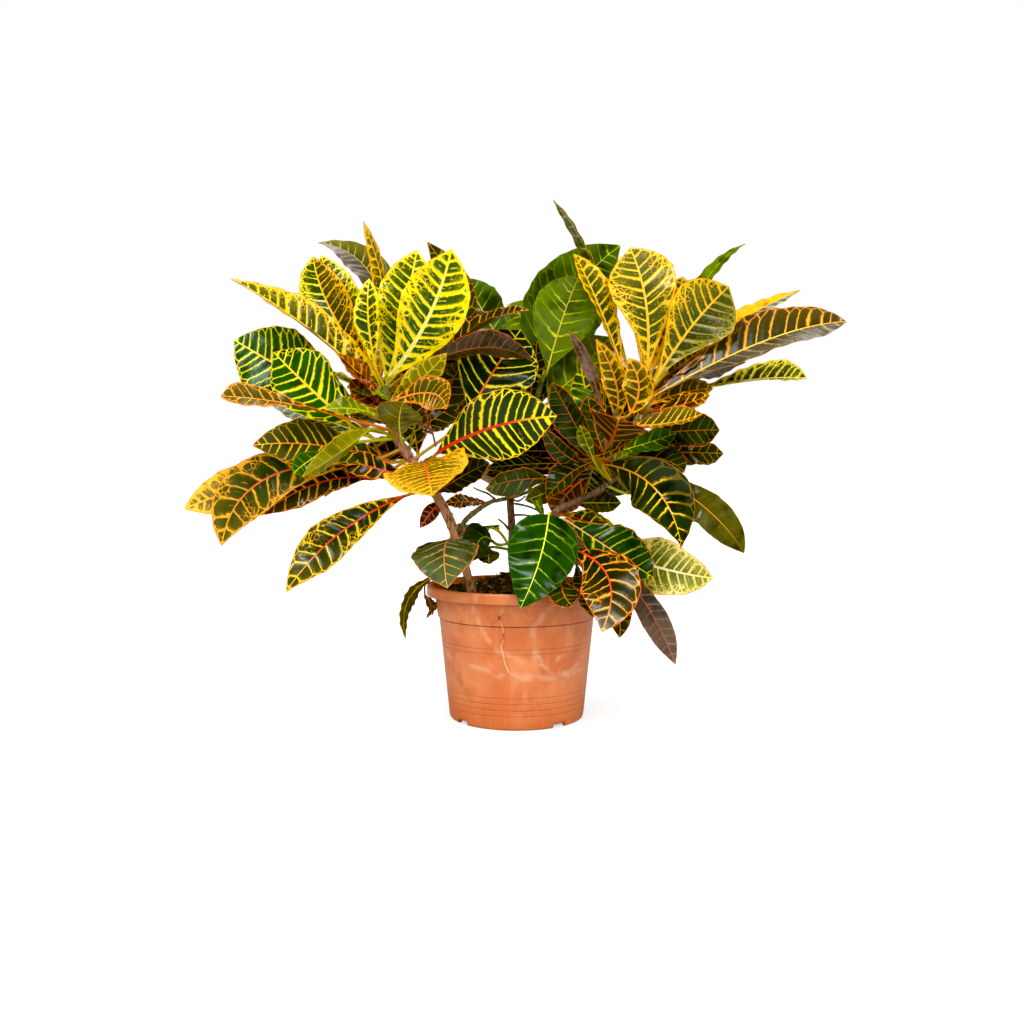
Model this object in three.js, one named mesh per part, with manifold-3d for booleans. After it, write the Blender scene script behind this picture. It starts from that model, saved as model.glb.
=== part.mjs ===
// A croton in a nursery pot. Three woody stems stand in the soil. Each carries leafy shoots, whose blades
// taper into stalks that are sunk in the shoot's own stem.
// Millimetres, +Z up. The origin is on the floor under the middle of the pot, and the front looks along +Y.
import * as THREE from 'three';
import { mergeVertices } from 'three/addons/utils/BufferGeometryUtils.js';
import Module from 'manifold-3d';

const wasm = await Module();
wasm.setup();

// Pot
const POT_HEIGHT = 130;
const RIM_RADIUS = 89;
const RIM_FOOT_Z = 118.5;
const RIM_LIP = 4.2;
const COLLAR_TOP_RADIUS = 80.6;
const COLLAR_FOOT_RADIUS = 77.6;
const COLLAR_FOOT_Z = 96;
const BODY_TOP_RADIUS = 76.2;
const BODY_FOOT_RADIUS = 66;
const FOOT_ROUND = 2.5;
const WALL = 2.6;
const FLOOR = 4;
const POT_SEGMENTS = 40;
const FOOT_NOTCHES = 4;
const NOTCH_ANGLE = 38;
const NOTCH_WIDTH = 15;
const NOTCH_HEIGHT = 4.5;
const DRAIN_HOLES = 6;
const DRAIN_RADIUS = 5;
const DRAIN_CIRCLE = 42;

// Soil
const GAP = 0.3;
const SOIL_Z = 120;
const MOUND = { x: -4, y: 38, height: 16, spread: 26 };
const SOIL_LUMP = 1.6;
const SOIL_RINGS = [68, 56, 44, 32, 20, 9, 0];
const BARK_CHIPS = 16;
const GOLDEN_ANGLE = 2.39996;

// Plant. Places are [x, y, z] as seen from the front: y is the true depth behind the pot's axis, and x and z
// are measured in the plane of that axis, from an eye SIGHT_DISTANCE before it and SIGHT_HEIGHT up.
const SIGHT_DISTANCE = 1026;
const SIGHT_HEIGHT = 250;
const BLADE = 1.0;
const STALK_RADIUS = 1.5;
const STALK_DROP = 12;
const RIB = 1.2;
const RIPPLE_TURNS = 3.8;
const RIPPLE_PHASES = [2.3, 0.6];
const STALK_RINGS = [0, 0.6];
const BLADE_RINGS = [0, 0.15, 0.38, 0.61, 0.83, 1];
const SMALL_BLADE_RINGS = [0, 0.25, 0.7, 1];
const SMALL_BLADE = 34;
const STEM_SIDES = 6;
const STEM_STEP = 18;
const HOLE_GAP = 0.4;

// Woody stems: radius at the foot and at the top, then the places that the axis passes through
const LEFT_WOOD = [4.6, 4.2, [[-38, -26, 80], [-45, -30, 124], [-50, -30, 144], [-54, -29, 158]]];
const MIDDLE_WOOD = [3.8, 3.4, [[-4, 40, 95], [-4, 38, 138], [-5, 35, 152], [-5, 32, 159]]];
const RIGHT_WOOD = [4.2, 3.7, [[26, 2, 85], [28, 0, 124], [30, -12, 158], [32, -22, 176]]];

// Leafy stems, in the same form
const LEFT_STEM = [4.2, 2.2, [[-54.2, -29, 158.7], [-60, -28, 178], [-75, -26, 212], [-101, -26, 250],
  [-124, -20, 287], [-130, -13, 327]]];
const CROSS_STEM = [2.6, 1.3, [[-60, -28, 176], [-52, -30, 193], [-40, -26, 204], [-25, -19, 213],
  [-8, -12, 217], [14, -6, 224], [30, -2, 233], [44, 4, 243]]];
const MIDDLE_STEM = [3.4, 2.2, [[-5, 31.7, 159.8], [-6, 24, 185], [-7, 16, 218], [0, 20, 260], [15, 27, 300],
  [27, 30, 338]]];
const ELBOW_STEM = [3.7, 2.7, [[32.1, -22.4, 176.7], [34, -34, 195], [42, -38, 206], [58, -32, 213],
  [80, -25, 224], [90, -21.5, 230.5]]];
const ELBOW_STUB = [2.8, 2.4, [[40, -38, 203], [44, -36, 209], [46, -34, 217]]];
const RIGHT_STEM = [2.7, 2.0, [[91.2, -21, 231.4], [100, -18.5, 238], [110, -16, 247], [119, -14, 268],
  [126, -12, 296], [133, -12, 327]]];
const INNER_STEM = [2.2, 1.6, [[110, -16, 247], [92, -22, 256], [88, -22, 275], [100, -17, 306]]];

// Leaves: foot, middle and tip of the midrib; width; turn about the midrib, where 0 shows the upper face to
// the front and a plus turns the right edge forward; twist from foot to tip; fold of each half; wave of the
// margin; and, where it isn't the usual, the belly, above 1.25 for a blade that is widest nearer its tip.
const LEFT_LEAVES = [
  [[-134, -14, 325], [-206, -36, 394], [-282, -60, 433], 52, -58, 0, 38, 3],
  [[-138, -2, 335], [-186, 8, 403], [-204, 10, 455], 62, 0, 20, 35, 3],
  [[-139, 14, 336], [-165, 32, 405], [-186, 44, 456], 66, 5, 0, 10, 3],
  [[-133, 6, 336], [-136, 11, 413], [-153, 12, 490], 42, 60, 0, 20, 2],
  [[-125, 45, 350], [-142, 66, 438], [-194, 66, 470], 46, -45, 10, 15, 2],
  [[-142, -22, 345], [-145, -30, 393], [-147, -26, 434], 42, 30, 0, 20, 2],
  [[-128, -10, 329], [-118, -12, 398], [-97, -4, 461], 66, -5, 0, 12, 3],
  [[-125, -18, 338], [-92, -34, 395], [-64, -40, 461], 73, 0, 0, 8, 3],
  [[-118, 20, 340], [-66, 40, 402], [-86, 40, 468], 56, 0, 0, 10, 2],
  [[-124, -22, 312], [-96, -40, 335], [-69, -55, 364], 44, 150, 0, 15, 2],
  [[-118, 0, 318], [-44, 0, 380], [12, -5, 402], 42, 75, 0, 30, 2],
  [[-100, 10, 345], [-35, 18, 368], [16, 12, 357], 38, 130, 0, 15, 2],
  [[-116, -35, 281], [-98, -75, 318], [-70, -110, 304], 75, 90, -120, 10, 3],
  [[-160, -20, 300], [-226, -60, 342], [-277, -95, 368], 74, -20, 10, 6, 3],
  [[-176, -50, 300], [-212, -80, 336], [-240, -115, 360], 62, -10, 0, 6, 3],
  [[-128, -38, 285], [-216, -106, 309], [-291, -138, 315], 40, -60, 20, 20, 2],
  [[-131, -42, 299], [-160, -66, 311], [-187, -84, 309], 34, -60, 0, 30, 2],
  [[-141, -14, 273], [-201, -8, 293], [-257, -20, 311], 60, -60, 0, 10, 2],
  [[-126, -20, 253], [-196, -52, 271], [-261, -72, 270], 62, -45, 0, 8, 3],
  [[-154, -58, 282], [-181, -88, 261], [-218, -112, 238], 40, -120, 0, 20, 2],
  [[-175, 16, 256], [-251, 8, 239], [-331, -8, 205], 60, -20, 0, 8, 3],
  [[-160, -38, 250], [-252, -65, 232], [-295, -85, 166], 57, -10, 0, 8, 3],
  [[-149, -20, 236], [-198, -44, 226], [-258, -52, 199], 43, -30, 0, 8, 3],
  [[-129, -12, 240], [-166, -6, 250], [-212, -8, 232], 46, -60, 0, 15, 2],
  [[-93, -40, 262], [-90, -88, 252], [-85, -150, 219], 84, 0, 0, -6, 4],
  [[-80, -38, 222], [-54, -45, 238], [-27, -48, 255], 44, 100, 0, 10, 2],
  [[-75, -20, 210], [-84, -30, 204], [-96, -38, 187], 24, 0, 0, 8, 1],
  [[-111, -30, 219], [-175, -60, 176], [-230, -85, 125], 42, -20, 0, 8, 3],
  [[-132, -25, 308], [-154, -35, 333], [-177, -45, 359], 36, -100, 0, 20, 2],
  [[-78, -45, 262], [-24, -85, 287], [40, -100, 298], 66, 0, 0, 6, 4],
  [[-46, -10, 303], [-24, -15, 338], [-4, -15, 370], 75, 0, 0, 6, 2],
];
const CROSS_LEAVES = [
  [[-66, -50, 172], [-73, -82, 162], [-69, -112, 127], 72, -10, 0, -6, 3],
  [[-77, -40, 141], [-112, -50, 115], [-112, -60, 76], 22, 60, 0, 8, 1],
  [[35, -10, 235], [-1, -25, 230], [-30, -40, 223], 44, 60, 0, 10, 2],
  [[51, -2, 251], [8, -10, 250], [-30, -14, 246], 40, -65, 0, 10, 2],
  [[68, -10, 253], [62, -8, 235], [57, -6, 218], 34, 0, 0, 8, 2],
  [[58, 0, 210], [82, -5, 210], [104, -10, 211], 26, 30, 0, 8, 2],
  [[-30, 0, 212], [-51, -5, 213], [-72, -10, 211], 26, -60, 0, 8, 1],
];
const MIDDLE_LEAVES = [
  [[-12, 60, 360], [-28, 66, 405], [-50, 66, 436], 55, -20, 0, 8, 2],
  [[32, 10, 345], [41, 5, 388], [60, 0, 434], 64, 0, 0, 8, 2],
  [[20, 50, 340], [58, 60, 420], [102, 65, 465], 74, 0, 0, 8, 2],
  [[28, 60, 368], [10, 78, 392], [-10, 86, 409], 50, -20, 0, 8, 2],
  [[-29, 0, 178], [-39, -14, 166], [-44, -24, 148], 36, 10, 0, 8, 2],
  [[-28, 4, 164], [-28, -6, 157], [-27, -16, 149], 24, 0, 0, 6, 1],
];
const ELBOW_LEAVES = [
  [[32, -50, 199], [24, -85, 153], [4, -112, 105], 58, 0, 0, 6, 2, 0.95],
  [[50, -45, 193], [96, -60, 164], [136, -75, 136], 52, 20, 0, 8, 3],
  [[56, -58, 166], [92, -98, 136], [85, -124, 83], 58, 0, 0, 6, 3],
  [[88, -50, 165], [100, -66, 115], [103, -78, 74], 26, 0, 0, 6, 1, 2.2],
  [[84, -30, 168], [144, -45, 148], [195, -55, 138], 50, 10, 0, 8, 4],
  [[80, -35, 170], [122, -58, 112], [156, -75, 50], 38, 180, 0, 8, 3, 1.6],
  [[44, -72, 138], [47, -98, 121], [56, -110, 109], 30, 20, 0, 6, 1],
  [[60, -42, 150], [68, -72, 122], [76, -97, 98], 30, 50, 0, 6, 1],
  [[46, -30, 198], [74, -20, 190], [98, -22, 183], 34, 55, 0, 10, 2],
];
const RIGHT_LEAVES = [
  [[113, 20, 363], [82, 25, 451], [34, 20, 512], 30, 70, 0, 20, 2],
  [[106, 5, 345], [81, 0, 410], [56, -5, 457], 44, 50, 0, 10, 2],
  [[127, -5, 328], [129, -10, 403], [120, 5, 465], 68, 0, 0, 8, 3, 1.7],
  [[135, 12, 345], [160, 14, 400], [171, 12, 436], 40, 0, 0, 8, 3],
  [[134, -12, 328], [174, -22, 383], [220, -30, 423], 58, 0, 0, 12, 3],
  [[140, 24, 345], [183, 45, 428], [227, 50, 467], 40, 60, 0, 15, 2],
  [[174, 30, 363], [218, 44, 395], [279, 50, 422], 44, 70, 0, 20, 2],
  [[136, -14, 317], [242, -34, 370], [325, -40, 390], 56, 50, 0, 40, 3],
  [[140, 2, 330], [184, 4, 363], [226, 4, 389], 40, 75, 0, 30, 2],
  [[174, 8, 321], [232, -10, 337], [288, -30, 341], 30, 50, 0, 15, 3],
  [[134, -16, 310], [166, -14, 319], [194, -16, 323], 34, 60, 0, 15, 2],
  [[132, -26, 303], [164, -42, 309], [191, -50, 319], 34, 60, 0, 10, 2],
  [[119, -34, 289], [152, -62, 298], [188, -76, 302], 40, 50, 0, 10, 2],
  [[119, -14, 278], [164, -24, 282], [204, -30, 284], 48, 40, 0, 10, 3],
  [[124, 0, 263], [169, 0, 261], [205, 0, 261], 44, 40, 0, 10, 3],
  [[79, -18, 258], [119, -32, 268], [158, -38, 279], 40, 55, 0, 10, 3],
  [[85, -28, 254], [132, -38, 258], [168, -46, 245], 46, 55, 0, 12, 3],
  [[87, -38, 251], [143, -85, 233], [168, -105, 168], 58, 10, 0, 8, 3],
  [[134, -10, 243], [186, -30, 203], [225, -40, 158], 46, 10, 0, 8, 3],
  [[74, -20, 263], [51, -30, 303], [34, -35, 332], 30, 60, 0, 15, 2],
  [[80, -5, 303], [72, -10, 343], [56, -14, 378], 30, 80, 0, 15, 2],
  [[98, -15, 295], [94, -20, 335], [79, -20, 373], 36, 20, 0, 15, 2],
  [[112, -30, 298], [112, -35, 328], [104, -35, 361], 50, -10, 0, 10, 2],
  [[92, -30, 270], [98, -75, 284], [101, -110, 295], 60, 180, 0, 20, 2],
  [[80, -32, 256], [74, -42, 274], [66, -50, 290], 22, 20, 0, 8, 1],
  [[58, -20, 253], [44, -25, 266], [28, -30, 283], 24, 20, 0, 8, 1],
  [[79, -44, 258], [96, -62, 264], [114, -78, 273], 20, 60, 0, 8, 1],
];

// Leaves at the back, in the same form, but turned from lying with the upper face to the sky
const LEFT_BACK_LEAVES = [
  [[-136, 14, 328], [-158, 85, 378], [-174, 150, 392], 62, 0, 10, 12, 3],
  [[-114, 20, 328], [-92, 92, 376], [-76, 162, 376], 66, -10, 0, 10, 3],
  [[-134, 12, 312], [-190, 70, 340], [-235, 130, 335], 60, -10, 10, 12, 3],
  [[-120, 15, 315], [-60, 80, 340], [-20, 140, 330], 64, 10, 0, 10, 3],
  [[-128, 15, 296], [-140, 95, 312], [-150, 175, 285], 66, 0, 10, 8, 3],
  [[-125, 12, 280], [-195, 70, 282], [-250, 125, 250], 60, -10, 0, 10, 3],
  [[-116, 15, 274], [-95, 100, 285], [-74, 175, 250], 62, 10, 0, 8, 3],
  [[-110, 12, 256], [-155, 75, 254], [-190, 140, 218], 58, 0, 10, 8, 3],
  [[-100, 12, 248], [-60, 70, 252], [-20, 120, 228], 56, 0, 0, 8, 3],
];
const MIDDLE_BACK_LEAVES = [
  [[-18, 46, 184], [-40, 90, 186], [-58, 128, 160], 50, 0, 0, 8, 3],
  [[22, 45, 310], [0, 105, 330], [-14, 165, 312], 60, 0, 10, 10, 3],
  [[10, 40, 270], [40, 105, 285], [60, 165, 262], 58, 0, 0, 8, 3],
];
const ELBOW_BACK_LEAVES = [
  [[110, 4, 216], [136, 56, 196], [158, 108, 156], 56, 0, 0, 8, 3],
  [[50, -12, 196], [60, 55, 180], [68, 112, 145], 54, 0, 0, 8, 3],
];
const RIGHT_BACK_LEAVES = [
  [[124, 20, 334], [122, 80, 392], [112, 132, 416], 60, -10, 0, 10, 3],
  [[138, 20, 322], [182, 88, 360], [212, 150, 362], 60, 10, 10, 12, 3],
  [[120, 18, 312], [86, 88, 350], [66, 152, 352], 60, -10, 0, 10, 3],
  [[132, 18, 300], [176, 85, 312], [206, 150, 290], 60, 0, 10, 10, 3],
  [[124, 20, 290], [122, 100, 306], [118, 175, 280], 62, 0, 0, 10, 3],
  [[118, 18, 268], [162, 85, 268], [188, 150, 236], 56, 0, 10, 8, 3],
  [[104, 16, 276], [72, 85, 280], [50, 145, 246], 56, 0, 0, 8, 3],
];

// Small dry things: a curled leaf that hangs over the rim from the soil, and a thread of root down the front
const DRIED_LEAF = [[-84.5, -20, 131.5], [-92.6, -18, 121], [-88, -16, 97], 18, 80, 20, -20, 0.5];
const DRIED_STALK = [[-70, -20, 116.6], [-66, -20, 116.6]];
const ROOT_THREAD_RADIUS = 0.9;
const ROOT_THREAD = [[-12.5, 116], [-16.5, 109], [-13.5, 103], [-11, 90], [-14.5, 83], [-11, 67], [-5.5, 56]];

const radians = THREE.MathUtils.degToRad;

// A place as seen from the front, moved along its line of sight to its depth
function place([x, y, z]) {
  const scale = (SIGHT_DISTANCE + y) / SIGHT_DISTANCE;
  return new THREE.Vector3(x * scale, y, SIGHT_HEIGHT + (z - SIGHT_HEIGHT) * scale);
}

function toSolid(geometry) {
  const bare = geometry.clone();
  bare.deleteAttribute('normal');
  bare.deleteAttribute('uv');
  const merged = mergeVertices(bare, 1e-4);
  return new wasm.Manifold(new wasm.Mesh({
    numProp: 3,
    vertProperties: new Float32Array(merged.attributes.position.array),
    triVerts: new Uint32Array(merged.index.array),
  }));
}

function toGeometry(solid) {
  const mesh = solid.getMesh();
  const geometry = new THREE.BufferGeometry();
  geometry.setAttribute('position', new THREE.BufferAttribute(mesh.vertProperties, 3));
  geometry.setIndex(new THREE.BufferAttribute(mesh.triVerts, 1));
  return geometry;
}

// Joins solids in one body. A loose scrap is dropped, and a hollow that the join seals is filled.
function fuse(solids) {
  const joined = solids.reduce((whole, solid) => whole.add(solid));
  const bodies = joined.decompose();
  return bodies.reduce((largest, body) => (body.volume() > largest.volume() ? body : largest));
}

// Closed skin over rings that all have the same number of corners. Quads past splitFlip are cut along the
// other diagonal, so that the two faces of a blade are cut alike.
function loft(rings, splitFlip = Infinity) {
  const corners = rings[0].length;
  const index = [];
  for (let i = 0; i + 1 < rings.length; i += 1) {
    for (let k = 0; k < corners; k += 1) {
      const near = i * corners + k;
      const nearNext = i * corners + ((k + 1) % corners);
      const far = near + corners;
      const farNext = nearNext + corners;
      if (k < splitFlip) index.push(near, far, farNext, near, farNext, nearNext);
      else index.push(near, far, nearNext, nearNext, far, farNext);
    }
  }
  const last = (rings.length - 1) * corners;
  for (let k = 1; k + 1 < corners; k += 1) {
    index.push(0, k, k + 1);
    index.push(last, last + k + 1, last + k);
  }
  const places = rings.flat().flatMap((corner) => corner.toArray());
  const geometry = new THREE.BufferGeometry();
  geometry.setAttribute('position', new THREE.Float32BufferAttribute(places, 3));
  geometry.setIndex(index);
  return geometry;
}

// Round bar whose radius runs evenly from one end to the other
function bar(curve, radiusFrom, radiusTo, steps, sides = STEM_SIDES) {
  const frames = curve.computeFrenetFrames(steps, false);
  const rings = [];
  for (let i = 0; i <= steps; i += 1) {
    const centre = curve.getPointAt(i / steps);
    const radius = THREE.MathUtils.lerp(radiusFrom, radiusTo, i / steps);
    const ring = [];
    for (let k = 0; k < sides; k += 1) {
      const angle = (2 * Math.PI * k) / sides;
      ring.push(centre.clone()
        .addScaledVector(frames.normals[i], -radius * Math.cos(angle))
        .addScaledVector(frames.binormals[i], radius * Math.sin(angle)));
    }
    rings.push(ring);
  }
  return toSolid(loft(rings));
}

function stemAxis([, , places]) {
  return new THREE.CatmullRomCurve3(places.map(place), false, 'centripetal');
}

function stemSolid(stem, extra = 0) {
  const axis = stemAxis(stem);
  const steps = Math.max(2, Math.round(axis.getLength() / STEM_STEP));
  return bar(axis, stem[0] + extra, stem[1] + extra, steps);
}

// Half width of a blade along its midrib, as a share of its widest
function bladeProfile(t, belly) {
  return Math.sin(Math.PI * t ** belly) ** 0.8;
}

// Where a leaf's stalk leaves the stems: the nearest point of their axes to a place just under its foot
function stalkRoot(foot, axes) {
  const under = foot.clone();
  under.z -= STALK_DROP;
  const samples = axes.flatMap((axis) => axis.getSpacedPoints(60).slice(2, -1));
  return samples.reduce((best, p) => (p.distanceTo(under) < best.distanceTo(under) ? p : best));
}

// Leaf in one piece: stalk and blade, each ring six-cornered, with the midrib proud of the underside
function leafSolid([foot, middle, tip, width, roll, twist, fold, wave, belly = 1.25], axes, faceUp = false) {
  const [start, through, end] = [foot, middle, tip].map(place);
  const pull = through.clone().multiplyScalar(2).addScaledVector(start, -0.5).addScaledVector(end, -0.5);
  const midrib = new THREE.QuadraticBezierCurve3(start, pull, end);
  const along = (t) => pull.clone().sub(start).multiplyScalar(1 - t)
    .addScaledVector(end.clone().sub(pull), t).normalize();
  const eye = new THREE.Vector3(0, -SIGHT_DISTANCE, SIGHT_HEIGHT);
  const facing = faceUp ? new THREE.Vector3(0, 0, 1) : eye.sub(midrib.getPoint(0.5)).normalize();
  const flatSide = along(0.5).cross(facing).normalize();
  const flatFace = flatSide.clone().cross(along(0.5));
  const side = flatSide.multiplyScalar(Math.cos(radians(roll)))
    .addScaledVector(flatFace, Math.sin(radians(roll)));
  const ring = (centre, tangent, turn, half, lift, edge, ribUp, ribDown) => {
    const level = side.clone().addScaledVector(tangent, -side.dot(tangent)).normalize();
    const face = level.clone().cross(tangent);
    const across = level.clone().multiplyScalar(Math.cos(turn)).addScaledVector(face, Math.sin(turn));
    const up = face.multiplyScalar(Math.cos(turn)).addScaledVector(level, -Math.sin(turn));
    const corner = (s, n) => centre.clone().addScaledVector(across, s).addScaledVector(up, n);
    return [
      corner(-half, lift[0] - edge / 2), corner(0, -ribDown), corner(half, lift[1] - edge / 2),
      corner(half, lift[1] + edge / 2), corner(0, ribUp), corner(-half, lift[0] + edge / 2),
    ];
  };
  const root = stalkRoot(start, axes);
  const reach = root.distanceTo(start) * 0.35;
  const stalk = new THREE.CubicBezierCurve3(root, root.clone().lerp(start, 0.35),
    start.clone().addScaledVector(along(0), -reach), start);
  const rings = STALK_RINGS.map((u) => ring(stalk.getPoint(u), stalk.getTangent(Math.max(u, 0.02)),
    radians(-twist / 2), STALK_RADIUS, [0, 0], STALK_RADIUS, STALK_RADIUS, STALK_RADIUS));
  const steps = width < SMALL_BLADE ? SMALL_BLADE_RINGS : BLADE_RINGS;
  steps.forEach((t) => {
    const half = Math.max((width / 2) * bladeProfile(t, belly), t < 0.5 ? STALK_RADIUS : 0.5);
    const bent = radians(fold * (1 - 0.5 * t));
    const ripple = RIPPLE_PHASES.map((phase) => (
      wave * Math.sin(RIPPLE_TURNS * Math.PI * t + phase) * Math.sin(Math.PI * t)));
    rings.push(ring(midrib.getPoint(t), along(t), radians(twist * (t - 0.5)), half * Math.cos(bent),
      ripple.map((r) => r + half * Math.sin(bent)), BLADE, BLADE / 2, BLADE / 2 + RIB * (1 - t)));
  });
  return toSolid(loft(rings, 2));
}

function shoot(stems, leaves, backLeaves) {
  const axes = stems.map(stemAxis);
  return fuse([
    ...stems.map((stem) => stemSolid(stem)),
    ...leaves.map((leaf) => leafSolid(leaf, axes)),
    ...backLeaves.map((leaf) => leafSolid(leaf, axes, true)),
  ]);
}

// Outer radius of the pot's wall at a height under the rim
function wallRadius(z) {
  const { mapLinear } = THREE.MathUtils;
  return z < COLLAR_FOOT_Z
    ? mapLinear(z, 0, COLLAR_FOOT_Z, BODY_FOOT_RADIUS, BODY_TOP_RADIUS)
    : mapLinear(z, COLLAR_FOOT_Z, RIM_FOOT_Z, COLLAR_FOOT_RADIUS, COLLAR_TOP_RADIUS);
}

// Points of a wall's inner side up from the floor, past the collar's step, at a distance inside its outer one
function innerWall(inset, from, to) {
  return [from, COLLAR_FOOT_Z - 3, COLLAR_FOOT_Z + 2, to].map((z) => [wallRadius(z) - inset, z]);
}

function potProfile() {
  return [
    [0, 0], [BODY_FOOT_RADIUS - FOOT_ROUND, 0], [wallRadius(FOOT_ROUND), FOOT_ROUND],
    [BODY_TOP_RADIUS, COLLAR_FOOT_Z - 0.6], [COLLAR_FOOT_RADIUS, COLLAR_FOOT_Z],
    [COLLAR_TOP_RADIUS, RIM_FOOT_Z - 1], [RIM_RADIUS - 1.2, RIM_FOOT_Z], [RIM_RADIUS, RIM_FOOT_Z + 1.5],
    [RIM_RADIUS - 0.2, POT_HEIGHT - 2], [RIM_RADIUS - 1.8, POT_HEIGHT], [RIM_RADIUS - RIM_LIP, POT_HEIGHT],
    [RIM_RADIUS - RIM_LIP - 1.2, POT_HEIGHT - 3], ...innerWall(WALL, FLOOR, RIM_FOOT_Z - 3).reverse(),
    [0, FLOOR],
  ];
}

function potSolid() {
  const profile = potProfile().map(([r, z]) => new THREE.Vector2(r, z));
  let pot = toSolid(new THREE.LatheGeometry(profile, POT_SEGMENTS).rotateX(Math.PI / 2));
  for (let i = 0; i < FOOT_NOTCHES; i += 1) {
    const notch = new THREE.BoxGeometry(NOTCH_WIDTH, 16, 2 * NOTCH_HEIGHT);
    notch.translate(0, -BODY_FOOT_RADIUS - 5, 0);
    notch.rotateZ(radians(NOTCH_ANGLE + (360 / FOOT_NOTCHES) * i));
    pot = pot.subtract(toSolid(notch));
  }
  for (let i = 0; i < DRAIN_HOLES; i += 1) {
    const hole = new THREE.CylinderGeometry(DRAIN_RADIUS, DRAIN_RADIUS, 4 * FLOOR, 12).rotateX(Math.PI / 2);
    hole.translate(DRAIN_CIRCLE, 0, 0);
    hole.rotateZ(radians((360 / DRAIN_HOLES) * (i + 0.5)));
    pot = pot.subtract(toSolid(hole));
  }
  return pot;
}

// Height of the soil's surface: level with fine lumps, and a mound round the middle stem
function soilHeight(x, y) {
  const distance = Math.hypot(x - MOUND.x, y - MOUND.y);
  const mound = MOUND.height * Math.exp(-((distance / MOUND.spread) ** 2));
  const lumps = Math.sin(x * 0.21 + 1.3) * Math.sin(y * 0.26) + 0.6 * Math.sin(x * 0.47 - y * 0.39);
  return SOIL_Z + mound + SOIL_LUMP * lumps;
}

// Even spread of chips over the soil by the golden angle
function barkChip(i) {
  const angle = i * GOLDEN_ANGLE;
  const radius = 12 + 56 * Math.sqrt((i + 0.5) / BARK_CHIPS);
  const [x, y] = [radius * Math.cos(angle), radius * Math.sin(angle)];
  const chip = new THREE.BoxGeometry(8 + (i % 3) * 3, 4 + (i % 2) * 2, 3);
  chip.rotateX(0.3 * Math.sin(i * 1.7));
  chip.rotateZ(i * 1.1);
  chip.translate(x, y, soilHeight(x, y) + 0.4);
  return toSolid(chip);
}

function soilSolid() {
  const profile = [[0, FLOOR + GAP], ...innerWall(WALL + GAP, FLOOR + GAP, SOIL_Z - 5),
    ...SOIL_RINGS.map((r) => [r, SOIL_Z])].map(([r, z]) => new THREE.Vector2(r, z));
  const body = new THREE.LatheGeometry(profile, POT_SEGMENTS).rotateX(Math.PI / 2);
  const { position } = body.attributes;
  for (let i = 0; i < position.count; i += 1) {
    const [x, y] = [position.getX(i), position.getY(i)];
    if (position.getZ(i) > SOIL_Z - 1) position.setZ(i, soilHeight(x, y));
  }
  const chips = Array.from({ length: BARK_CHIPS }, (_, i) => barkChip(i));
  const holes = [LEFT_WOOD, MIDDLE_WOOD, RIGHT_WOOD].map((stem) => stemSolid(stem, HOLE_GAP));
  return holes.reduce((soil, hole) => soil.subtract(hole), fuse([toSolid(body), ...chips]));
}

// The root thread lies on the pot's front wall, which it follows down past the collar's step
function rootThread() {
  const points = ROOT_THREAD.map(([x, z]) => {
    const wall = wallRadius(z > COLLAR_FOOT_Z - 8 ? Math.max(z, COLLAR_FOOT_Z) : z);
    return new THREE.Vector3(x, -Math.sqrt((wall + ROOT_THREAD_RADIUS + GAP) ** 2 - x ** 2), z);
  });
  return bar(new THREE.CatmullRomCurve3(points, false, 'centripetal'), ROOT_THREAD_RADIUS,
    ROOT_THREAD_RADIUS * 0.6, 16, 5);
}

function driedLeaf() {
  return leafSolid(DRIED_LEAF, [new THREE.LineCurve3(...DRIED_STALK.map(place))]);
}

const croton = new THREE.Group();

function add(name, solid, color, roughness) {
  const material = new THREE.MeshStandardMaterial({ color, roughness, metalness: 0 });
  const mesh = new THREE.Mesh(toGeometry(solid), material);
  mesh.name = name;
  croton.add(mesh);
}

add('pot', potSolid(), '#c8703f', 0.6);
add('soil', soilSolid(), '#33231a', 0.95);
add('left_stem', stemSolid(LEFT_WOOD), '#8a6a4c', 0.8);
add('middle_stem', stemSolid(MIDDLE_WOOD), '#5c4a34', 0.8);
add('right_stem', stemSolid(RIGHT_WOOD), '#7a4a3a', 0.8);
const leftShoot = shoot([LEFT_STEM, CROSS_STEM], [...LEFT_LEAVES, ...CROSS_LEAVES], LEFT_BACK_LEAVES);
const middleShoot = shoot([MIDDLE_STEM], MIDDLE_LEAVES, MIDDLE_BACK_LEAVES);
const elbowShoot = shoot([ELBOW_STEM, ELBOW_STUB], ELBOW_LEAVES, ELBOW_BACK_LEAVES);
const rightShoot = shoot([RIGHT_STEM, INNER_STEM], RIGHT_LEAVES, RIGHT_BACK_LEAVES);
add('left_shoot', leftShoot, '#b9b02a', 0.35);
add('middle_shoot', middleShoot, '#3f7a1e', 0.35);
add('elbow_shoot', elbowShoot, '#2f6a22', 0.35);
add('right_shoot', rightShoot, '#a8862a', 0.35);
add('dried_leaf', driedLeaf(), '#6e4b32', 0.9);
add('root_thread', rootThread(), '#c9a582', 0.9);

export default croton;
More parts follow.
